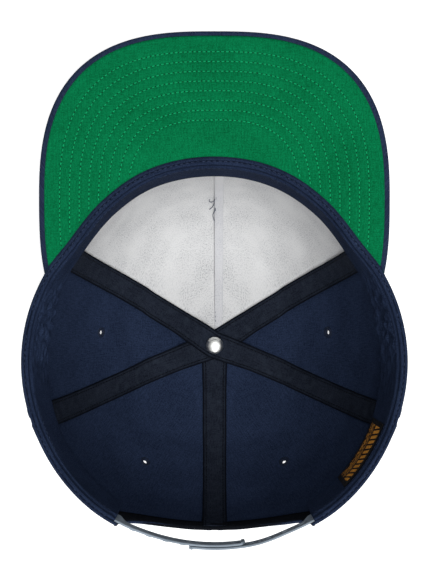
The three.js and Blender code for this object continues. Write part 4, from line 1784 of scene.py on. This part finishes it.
@dataclass
class InsideLabel(Maker):
    """The label sewn to the sweatband at the right rear."""

    start: float = 112.5
    length: float = 40.0
    top: float = 5.0
    height: float = 26.0
    inset: float = 6.0
    thickness: float = 0.35
    stitch_margin: float = 0.8

    def build(self) -> None:
        """Build the label and the stitches at its ends."""
        crown = self.crown
        first = FRONT - self.start
        swing = math.degrees(self.length / float(crown.rim_at(first)))
        u = shares(60)[:, None]
        v = shares(36)[None, :]
        wave = 0.22 * Ripples(91, 19.0).at(u * self.length, v * self.height)
        edge = np.minimum(np.minimum(u, 1.0 - u) * self.length, np.minimum(v, 1.0 - v) * self.height)
        inset = self.inset + (wave + 0.25) * eased(edge / 3.0)
        depth = self.top + v * self.height
        points = crown.rim_point(first - swing * (1.0 - u), depth + 0.0 * u, inset)
        flat = np.stack(np.broadcast_arrays(u * self.length, v * self.height), axis=-1) * MM
        obj = self.room.sheet("label_satin", points, flat)
        self.room.thicken(obj, self.thickness)
        self.room.enter(obj, self.wardrobe.label, Slot.LABEL, ["woven_label"])
        rows = []
        for u_row in (0.035, 0.965):
            depth = self.top + np.linspace(self.stitch_margin, self.height - self.stitch_margin, 60)
            azimuth = np.full(depth.shape, first - swing * (1.0 - u_row))
            path = crown.rim_point(azimuth, depth, self.inset + 0.2)
            rows.append((path, crown.inward(azimuth, 0.05 * np.ones(60))))
        needle = Needlework(self.room, length=1.5, gap=0.7, width=0.3, height=0.25)
        needle.sew("label_stitching", rows, self.wardrobe.dark_thread, Slot.LABEL)


@dataclass
class Visor(Maker):
    """The visor: board and navy cover below, green cloth above, eight rows of stitches."""

    reach: float = 63.0
    bulge: float = 2.5
    squareness: float = 2.75
    rise: float = 6.0
    under: float = -0.6
    board: float = 3.0
    cloth: float = 1.2
    lip: float = 2.45
    green_seat: float = 0.3
    edge_round: float = 1.9
    cover_pull: float = 0.22
    seam_gap: float = 0.05
    row_count: int = 8
    row_start: float = 10.4
    row_pitch: float = 4.87
    pull: float = 0.36
    stitch: float = 1.55
    stitch_gap: float = 0.8
    columns: int = 300
    rows: int = 120

    def __post_init__(self) -> None:
        """Work out the outline's half axes, its middle and its run past the rim."""
        crown = self.crown
        azimuth = math.radians(crown.visor_seam)
        seam_y = float(crown.rim_at(FRONT + crown.visor_seam)) * math.cos(azimuth)
        self.half_width = crown.seam_x + self.bulge
        power = self.squareness
        share = (1.0 - (crown.seam_x / self.half_width) ** power) ** (1.0 / power)
        tip = crown.rim_radius + self.reach
        self.half_length = (tip - seam_y) / (1.0 + share)
        self.middle_y = tip - self.half_length
        self.turn, self.widest = self.spread()

    def plan(self, turn: Array, margin: Array) -> tuple[Array, Array]:
        """Find places on the visor in plan.

        Args:
            turn: Way round the outline, 0 at +X and 0.25 at the tip.
            margin: Distance inside the outline.

        Returns:
            Their x and y.
        """
        c, s = np.cos(turn * ROUND), np.sin(turn * ROUND)
        norm = (np.abs(c) ** self.squareness + np.abs(s) ** self.squareness) ** (1.0 / self.squareness)
        x = (self.half_width - margin) * c / norm
        return x, self.middle_y + (self.half_length - margin) * s / norm

    def height(self, x: Array, y: Array) -> Array:
        """Find the height of the visor's middle surface.

        Args:
            x: Places right of the middle.
            y: Places forward.

        Returns:
            The heights.
        """
        beyond = np.maximum(np.hypot(x, y) - self.crown.rim_at(azimuth_of(x, y)), 0.0) / self.reach
        return self.crown.rim_height - self.crown.sag(x) + self.rise * beyond

    @staticmethod
    def swell(x: Array, y: Array) -> Array:
        """Return the height of the green cloth's slight waves."""
        return 0.12 * Ripples(101, 22.0).at(x, y)

    def beyond_rim(self, turn: Array, margin: Array) -> Array:
        """Tell where the visor lies outside the crown's rim."""
        x, y = self.plan(turn, margin)
        return np.hypot(x, y) > self.crown.rim_at(azimuth_of(x, y)) + self.seam_gap

    def spread(self) -> tuple[Array, Array]:
        """Find where the visor starts and ends on the rim, and how deep it is between.

        Returns:
            Turns along the outline and the widest margin at each.
        """
        edge = np.zeros(1)
        start = halved(lambda t: self.beyond_rim(t, edge), np.array([0.1]), np.array([-0.2]))
        first = float(start[0]) + 1e-4
        turn = np.linspace(first, 0.5 - first, self.columns + 1)
        shape = turn.shape
        widest = halved(lambda m: self.beyond_rim(turn, m), np.zeros(shape), np.full(shape, 80.0))
        return turn, widest

    def quilting(self, margin: Array, widest: Array) -> Array:
        """Find how far the stitch rows pull the cloth in.

        Args:
            margin: Distances inside the outline.
            widest: The widest margin there.

        Returns:
            1 at a row to 0 between rows.
        """
        place = (margin - self.row_start) / self.row_pitch
        near = np.cos(math.pi * place) ** 2
        held = (place > -0.5) & (place < self.row_count - 0.5)
        return near**3 * held * eased((widest - margin) / 2.0)

    def build(self) -> None:
        """Build the cover, the green cloth and all stitches."""
        self.green_cloth()
        self.cover()
        self.stitches()

    def green_cloth(self) -> None:
        """Build the green cloth inside the cover's lip."""
        share = shares(self.rows)[None, :]
        widest = self.widest[:, None]
        edge = np.minimum(self.lip - 0.1, widest)
        margin = mixed(edge, np.maximum(widest, edge), share)
        x, y = self.plan(self.turn[:, None], margin)
        z = self.height(x, y) + self.under + self.green_seat + self.cloth
        rolled = 0.7 * (1.0 - eased((margin - edge) / 1.1))
        swell = self.swell(x, y)
        held = self.pull * self.quilting(margin, widest)
        z = z - rolled - held + swell * eased((margin - 3.0) / 4.0)
        points = np.stack([x, y, z], axis=-1)
        flat = np.stack([x, y], axis=-1) * MM
        obj = self.room.sheet("visor_green_cloth", points, flat)
        self.room.thicken(obj, self.cloth - self.green_seat)
        self.room.enter(obj, self.wardrobe.green, Slot.GREEN, ["visor_under"])

    def cover(self) -> None:
        """Build the board's navy cover, which wraps round the edge."""
        turn, widest = self.turn[:, None], self.widest[:, None]
        low, high = self.under - self.board, self.under + self.cloth
        half, middle = (high - low) / 2.0, (high + low) / 2.0
        round_edge = np.linspace(-math.pi / 2.0, math.pi / 2.0, 15)[None, :]
        nose = np.minimum(self.edge_round * (1.0 - np.cos(round_edge) ** 0.75), widest)
        across = np.linspace(1.0, 0.0, 91, endpoint=False)[None, :]
        below = mixed(np.minimum(self.edge_round, widest), widest, across)
        tip = np.sin(math.pi * np.clip((turn - 0.1) / 0.3, 0.0, 1.0))
        lip = self.lip + 0.55 * (1.0 - tip)
        lip_margin = np.minimum(lip - np.array([[0.45, 0.2, 0.05, 0.0]]), widest)
        lip_height = high + np.array([[-0.02, -0.12, -0.4, -1.1]])
        floor_margin = mixed(lip_margin[:, -1:], widest, np.linspace(0.1, 1.0, 12)[None, :])
        dips = self.cover_pull * self.quilting(below, widest)
        parts = (
            (below, low + dips),
            (nose, middle + half * np.sin(round_edge)),
            (lip_margin, lip_height),
            (floor_margin, np.full((1, 12), self.under)),
            (widest, np.full((1, 1), low)),
        )
        shapes = [(len(turn), heights.shape[1]) for _, heights in parts]
        margin = np.hstack([np.broadcast_to(part[0], shape) for part, shape in zip(parts, shapes)])
        offset = np.hstack([np.broadcast_to(part[1], shape) for part, shape in zip(parts, shapes)])
        offset[:, 0] = low
        x, y = self.plan(turn, margin)
        points = np.stack([x, y, self.height(x, y) + offset], axis=-1)
        obj = self.room.sheet("visor_cover", points, surface_uv(points))
        self.room.weld(obj, 2e-6)
        self.room.enter(obj, self.wardrobe.navy, Slot.NAVY, ["visor_top"])

    def stitches(self) -> None:
        """Sew the rows through green cloth, board and cover."""
        fine = np.linspace(self.turn[0], self.turn[-1], 1500)
        limit = np.interp(fine, self.turn, self.widest)
        above, below = [], []
        for index in range(self.row_count):
            margin = self.row_start + self.row_pitch * index
            inside = limit > margin + 1.2
            x, y = self.plan(fine[inside], np.full(inside.sum(), margin))
            z = self.height(x, y)
            up = np.tile(np.array([0.0, 0.0, 1.0]), (len(x), 1))
            swell = self.swell(x, y)
            top = z + self.under + self.green_seat + self.cloth - self.pull + swell + 0.08
            above.append((np.stack([x, y, top], axis=-1), up))
            low = z + self.under - self.board + self.cover_pull - 0.05
            below.append((np.stack([x, y, low], axis=-1), -up))
        length, gap = self.stitch, self.stitch_gap
        needle = Needlework(self.room, length, gap, width=0.52, height=0.44)
        needle.sew("visor_green_stitching", above, self.wardrobe.green_thread, Slot.GREEN)
        needle.sew("visor_navy_stitching", below, self.wardrobe.navy_thread, Slot.NAVY)
        # Dark dashes between the stitches: painted shade of the needle holes
        pricked = Needlework(self.room, gap * 0.9, length + gap * 0.1, width=0.6, height=0.2)
        pricked.lead = needle.lead + length + gap * 0.05
        pricked.sew("visor_needle_holes", above, self.wardrobe.hole_shade, Slot.GREEN)


@dataclass
class SnapStrap(Maker):
    """The plastic strap in two halves, snapped together behind the arch."""

    height: float = 16.0
    thickness: float = 1.2
    gap: float = 0.3
    drop: float = 0.6
    flare: float = 0.9
    tuck: float = 13.0
    cloth: float = 1.5
    lap_right: float = 16.0
    snap_pitch: float = 9.0
    snap_count: int = 7
    snaps_mated: int = 3
    snap_end: float = 5.5
    peg_radius: float = 1.9
    peg_height: float = 0.8
    hole_radius: float = 2.4
    free_from: float = 1.0
    free_by: float = 0.9
    lap_from: float = 0.88
    lap_by: float = 0.34
    end_lip: float = 0.55

    @property
    def arch_angle(self) -> float:
        """Return the angle from the back to the arch's corners."""
        radius = float(self.crown.rim_at(FRONT + HALF_TURN))
        return math.degrees(math.asin(self.crown.arch_half_width / radius))

    def azimuth(self, right: Array) -> Array:
        """Return the azimuth of places by their distance right of the middle."""
        radius = float(self.crown.rim_at(FRONT + HALF_TURN))
        return FRONT + HALF_TURN + np.degrees(np.asarray(right, dtype=float) / radius)

    def point(self, azimuth: Array, depth: Array, layer: int, inner: Array) -> Array:
        """Find points of a half.

        Args:
            azimuth: Azimuths along it.
            depth: Depth below the rim.
            layer: 0 for the inner half, 1 for the outer one.
            inner: Depth inside its outer face.

        Returns:
            The points.
        """
        azimuth, depth, inner = np.broadcast_arrays(azimuth, depth, inner)
        share = (HALF_TURN - self.crown.from_front(azimuth)) / self.arch_angle
        free = eased((self.free_from - share) / (self.free_from - self.free_by))
        lap = eased((self.lap_from - share) / (self.lap_from - self.lap_by))
        outward = layer * (self.thickness + self.gap) * lap
        flare = self.flare * free * depth / self.height
        tucked = self.crown.rim_point(azimuth, depth, 0.0)
        outline = np.hypot(tucked[..., 0], tucked[..., 1])
        radius = mixed(outline, self.crown.rim_at(azimuth), free)
        radius = radius - self.cloth - self.gap + outward + flare - inner
        return np.stack([*polar(azimuth, radius), self.crown.rim_height - depth], axis=-1)

    def build(self) -> None:
        """Build both halves with pegs, holes and end lips."""
        first = self.lap_right - self.snap_end
        last = first - (self.snaps_mated - 1) * self.snap_pitch
        tuck = self.arch_angle + math.degrees(self.tuck / float(self.crown.rim_at(270.0)))
        back = FRONT + HALF_TURN
        inner = self.half("strap_half_inner", back - tuck, float(self.azimuth(self.lap_right)), 0)
        self.pegs(inner, [first - k * self.snap_pitch for k in range(self.snap_count)])
        self.room.enter(inner, self.wardrobe.strap, Slot.STRAP, ["strap_left"])
        outer_end = float(self.azimuth(last - self.snap_end))
        outer = self.half("strap_half_outer", back + tuck, outer_end, 1)
        self.holes(outer, [last + k * self.snap_pitch for k in range(self.snap_count)])
        self.room.enter(outer, self.wardrobe.strap, Slot.STRAP, ["strap_right"])

    def half(self, name: str, start: float, end: float, layer: int) -> Piece:
        """Build one half as a rounded band with a lip at its free end.

        Args:
            name: The piece's name.
            start: Azimuth of its tucked end.
            end: Azimuth of its free end.
            layer: 0 for the inner half, 1 for the outer one.

        Returns:
            The object.
        """
        azimuth = mixed(start, end, shares(180))[:, None]
        half, r = self.thickness / 2.0, 0.42
        knots = [(half, 3.0), (half, 8.0), (half, 13.0), (half, 15.3), (r, 15.9), (0.0, 16.0)]
        knots += [(-r, 15.9), (-half, 15.3), (-half, 13.0), (-half, 8.0), (-half, 3.0)]
        knots += [(-half, 0.7), (-r, 0.1), (0.0, 0.0), (r, 0.1), (half, 0.7)]
        section = closed_curve(knots, 61)
        from_end = np.radians(np.abs(azimuth - end)) * 99.0
        lip = self.end_lip * (1.0 - eased((from_end - 1.7) / 0.5)) * eased((from_end + 0.2) / 0.5)
        side = 1.0 if layer == 0 else -1.0
        offset = section[None, :, 0]
        inner = half - offset + lip * side * (offset * -side > 0.2)
        middle = self.height / 2.0
        shrink = 1.0 - 0.32 * (1.0 - eased(from_end / 2.6)) ** 2
        depth = self.drop + middle + (section[None, :, 1] - middle) * shrink
        points = self.point(azimuth, depth, layer, inner)
        obj = self.room.sheet(name, points, surface_uv(points))
        self.room.weld(obj)
        return obj

    def bar(
        self,
        bm: bmesh.types.BMesh,
        right: float,
        layer: int,
        span: tuple[float, float],
        radius: float,
    ) -> None:
        """Add a round bar across a half.

        Args:
            bm: Mesh that takes it.
            right: Distance right of the middle.
            layer: The half.
            span: Depths inside its outer face where the bar starts and ends.
            radius: Its radius.
        """
        azimuth, depth = self.azimuth(right), np.array(self.drop + self.height / 2.0)
        outer = self.point(azimuth, depth, layer, np.array(span[0]))
        inner = self.point(azimuth, depth, layer, np.array(span[1]))
        way = Vector(inner - outer)
        middle = Vector(self.room.frame.place((inner + outer) / 2.0))
        turn = way.to_track_quat("Z", "Y").to_matrix().to_4x4()
        made = bmesh.ops.create_cone(
            bm,
            cap_ends=True,
            segments=28,
            radius1=radius * MM,
            radius2=radius * MM,
            depth=way.length * MM,
            matrix=Matrix.Translation(middle) @ turn,
        )
        rim = dict.fromkeys(edge for vert in made["verts"] for edge in vert.link_edges)
        sharp = [edge for edge in rim if edge.calc_face_angle(0.0) > 1.0]
        bmesh.ops.bevel(
            bm,
            geom=sharp,
            offset=0.35 * MM,
            offset_type="OFFSET",
            segments=3,
            profile=0.5,
            affect="EDGES",
            material=-1,
        )

    def pegs(self, obj: Piece, places: Sequence[float]) -> None:
        """Join domed pegs to the inner half.

        Args:
            obj: The inner half.
            places: Their distances right of the middle.
        """
        with edited(obj.data) as bm:
            for right in places:
                self.bar(bm, right, 0, (-self.peg_height, 0.5), self.peg_radius)

    def holes(self, obj: Piece, places: Sequence[float]) -> None:
        """Cut the holes through the outer half.

        Args:
            obj: The outer half.
            places: Their distances right of the middle.
        """
        mesh = bpy.data.meshes.new("punch")
        with edited(mesh) as bm:
            for right in places:
                self.bar(bm, right, 1, (-2.0, self.thickness + 1.0), self.hole_radius)
        punch = self.room.link("punch", mesh)
        cut = obj.modifiers.new("holes", "BOOLEAN")
        cut.operation = "DIFFERENCE"
        cut.solver = "EXACT"
        cut.object = punch
        graph = bpy.context.evaluated_depsgraph_get()
        whole = bpy.data.meshes.new_from_object(obj.evaluated_get(graph))
        obj.modifiers.clear()
        obj.data = whole
        bpy.data.objects.remove(punch)
        bpy.data.meshes.remove(mesh)


@dataclass
class ButtonAndRivet(Maker):
    """The cloth button on the crown's top and the metal rivet inside."""

    button_radius: float = 7.0
    rivet_radius: float = 4.8
    seat: float = 9.1
    dome: float = 2.4

    def spun(self, name: str, profile: Sequence[tuple[float, float]], steps: int) -> Piece:
        """Spin a profile about the crown's axis.

        Args:
            name: The piece's name.
            profile: Radius and height of its knots, from the axis out and back to it.
            steps: Facets round the axis.

        Returns:
            The object.
        """
        frame = self.room.frame
        axis = np.array([0.0, self.crown.apex_forward, 0.0])
        mesh = bpy.data.meshes.new(name)
        with edited(mesh) as bm:
            knots = [bm.verts.new(frame.place(axis + np.array([r, 0.0, z]))) for r, z in profile]
            edges = [bm.edges.new(pair) for pair in zip(knots, knots[1:])]
            bmesh.ops.spin(
                bm,
                geom=knots + edges,
                cent=Vector(frame.place(axis)),
                axis=(0.0, 0.0, 1.0),
                angle=ROUND,
                steps=steps,
                use_merge=True,
            )
            bmesh.ops.remove_doubles(bm, verts=bm.verts[:], dist=NEAR)
            bmesh.ops.recalc_face_normals(bm, faces=bm.faces[:])
            layer = bm.loops.layers.uv.new(UV_LAYER)
            for face in bm.faces:
                for loop in face.loops:
                    loop[layer].uv = (loop.vert.co.x, loop.vert.co.y)
        return self.room.link(name, mesh)

    def build(self) -> None:
        """Build the button and the rivet."""
        top = self.crown.button_lift - 0.6
        t = np.linspace(0.0, 1.0, 18)
        under = [
            (self.button_radius * math.sin(a * math.pi / 2), 3.2 - 2.9 * math.cos(a * math.pi / 2))
            for a in t
        ]
        over = [(self.button_radius * 0.93, 3.75), (self.button_radius * 0.7, 4.0), (0.0, top)]
        button = self.spun("top_button_cloth", under + over, 60)
        self.room.enter(button, self.wardrobe.navy, Slot.NAVY, ["top_button"])
        radius, seat = self.rivet_radius, self.seat
        head = [(0.0, top + 0.3), (2.0, top + 0.3), (2.0, seat + 0.1), (radius * 0.9, seat + 0.05)]
        head += [(radius, seat + 0.25), (radius, seat + 0.5), (radius * 0.955, seat + 0.72)]
        dome = np.linspace(0.12, 1.0, 16) * math.pi / 2
        head += [
            (radius * 0.94 * math.cos(a), seat + 0.6 + (self.dome - 0.6) * math.sin(a)) for a in dome
        ]
        rivet = self.spun("rivet_head", head, 72)
        self.room.enter(rivet, self.wardrobe.metal, Slot.METAL, ["button_rivet"])


@dataclass(frozen=True)
class Studio:
    """The plain floor, the soft lights and the camera over the cap."""

    camera_x: float = 0.0008
    camera_y: float = 0.00098
    camera_z: float = 0.914
    lens: float = 98.32
    floor_radius: float = 3.0
    sky_strength: float = 0.3
    light_size: float = 0.8
    aim: Colour = (0.0, 0.0, 0.05)

    def floor(self) -> None:
        """Lay a wide pale floor that glows a little, as a light table does."""
        mesh = bpy.data.meshes.new("studio_floor")
        with edited(mesh) as bm:
            bmesh.ops.create_circle(bm, cap_ends=True, segments=96, radius=self.floor_radius)
        obj = bpy.data.objects.new("studio_floor", mesh)
        bpy.context.scene.collection.objects.link(obj)
        finish = FloorFinish("pale_floor", (0.86, 0.86, 0.86), (0.9, 0.9, 0.9))
        mesh.materials.append(finish.build())

    def light(self, name: str, place: Colour, power: float) -> None:
        """Hang a soft square light that faces the cap.

        Args:
            name: Its name.
            place: Where it hangs.
            power: Its power in watts.
        """
        data = bpy.data.lights.new(name, "AREA")
        data.shape = "SQUARE"
        data.size = self.light_size
        data.energy = power
        obj = bpy.data.objects.new(name, data)
        obj.location = place
        way = Vector(self.aim) - Vector(place)
        obj.rotation_euler = way.to_track_quat("-Z", "Y").to_euler()
        bpy.context.scene.collection.objects.link(obj)

    def build(self) -> None:
        """Set up floor, lights, surroundings and camera."""
        scene = bpy.context.scene
        scene.view_settings.view_transform = "Standard"
        self.floor()
        world = bpy.data.worlds.new("soft_white")
        world.use_nodes = True
        sky = world.node_tree.nodes["Background"]
        sky.inputs["Color"].default_value = (1.0, 1.0, 1.0, 1.0)
        sky.inputs["Strength"].default_value = self.sky_strength
        scene.world = world
        self.light("soft_top", (0.22, -0.15, 1.7), 14.5)
        self.light("soft_back", (0.2, -1.15, 1.35), 13.0)
        camera = bpy.data.cameras.new("camera")
        camera.sensor_fit = "VERTICAL"
        camera.sensor_height = 36.0
        camera.lens = self.lens
        camera.clip_start = 0.05
        obj = bpy.data.objects.new("camera", camera)
        obj.location = (self.camera_x, self.camera_y, self.camera_z)
        scene.collection.objects.link(obj)
        scene.camera = obj


def main() -> None:
    """Build the cap piece by piece over its frame, then the studio."""
    logging.basicConfig(level=logging.INFO, format="%(name)s: %(message)s")
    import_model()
    crown = CrownForm()
    room = Workroom(Frame.read(crown, reach=Visor.reach))
    wardrobe = Wardrobe.make()
    makers = (
        CrownShell,
        FrontLining,
        SeamTapes,
        Sweatband,
        InsideLabel,
        Visor,
        SnapStrap,
        ButtonAndRivet,
    )
    for maker in makers:
        maker(room, crown, wardrobe).build()
    LOG.info("%d pieces made", len(room.made))
    Studio().build()


if __name__ == "__main__":
    main()
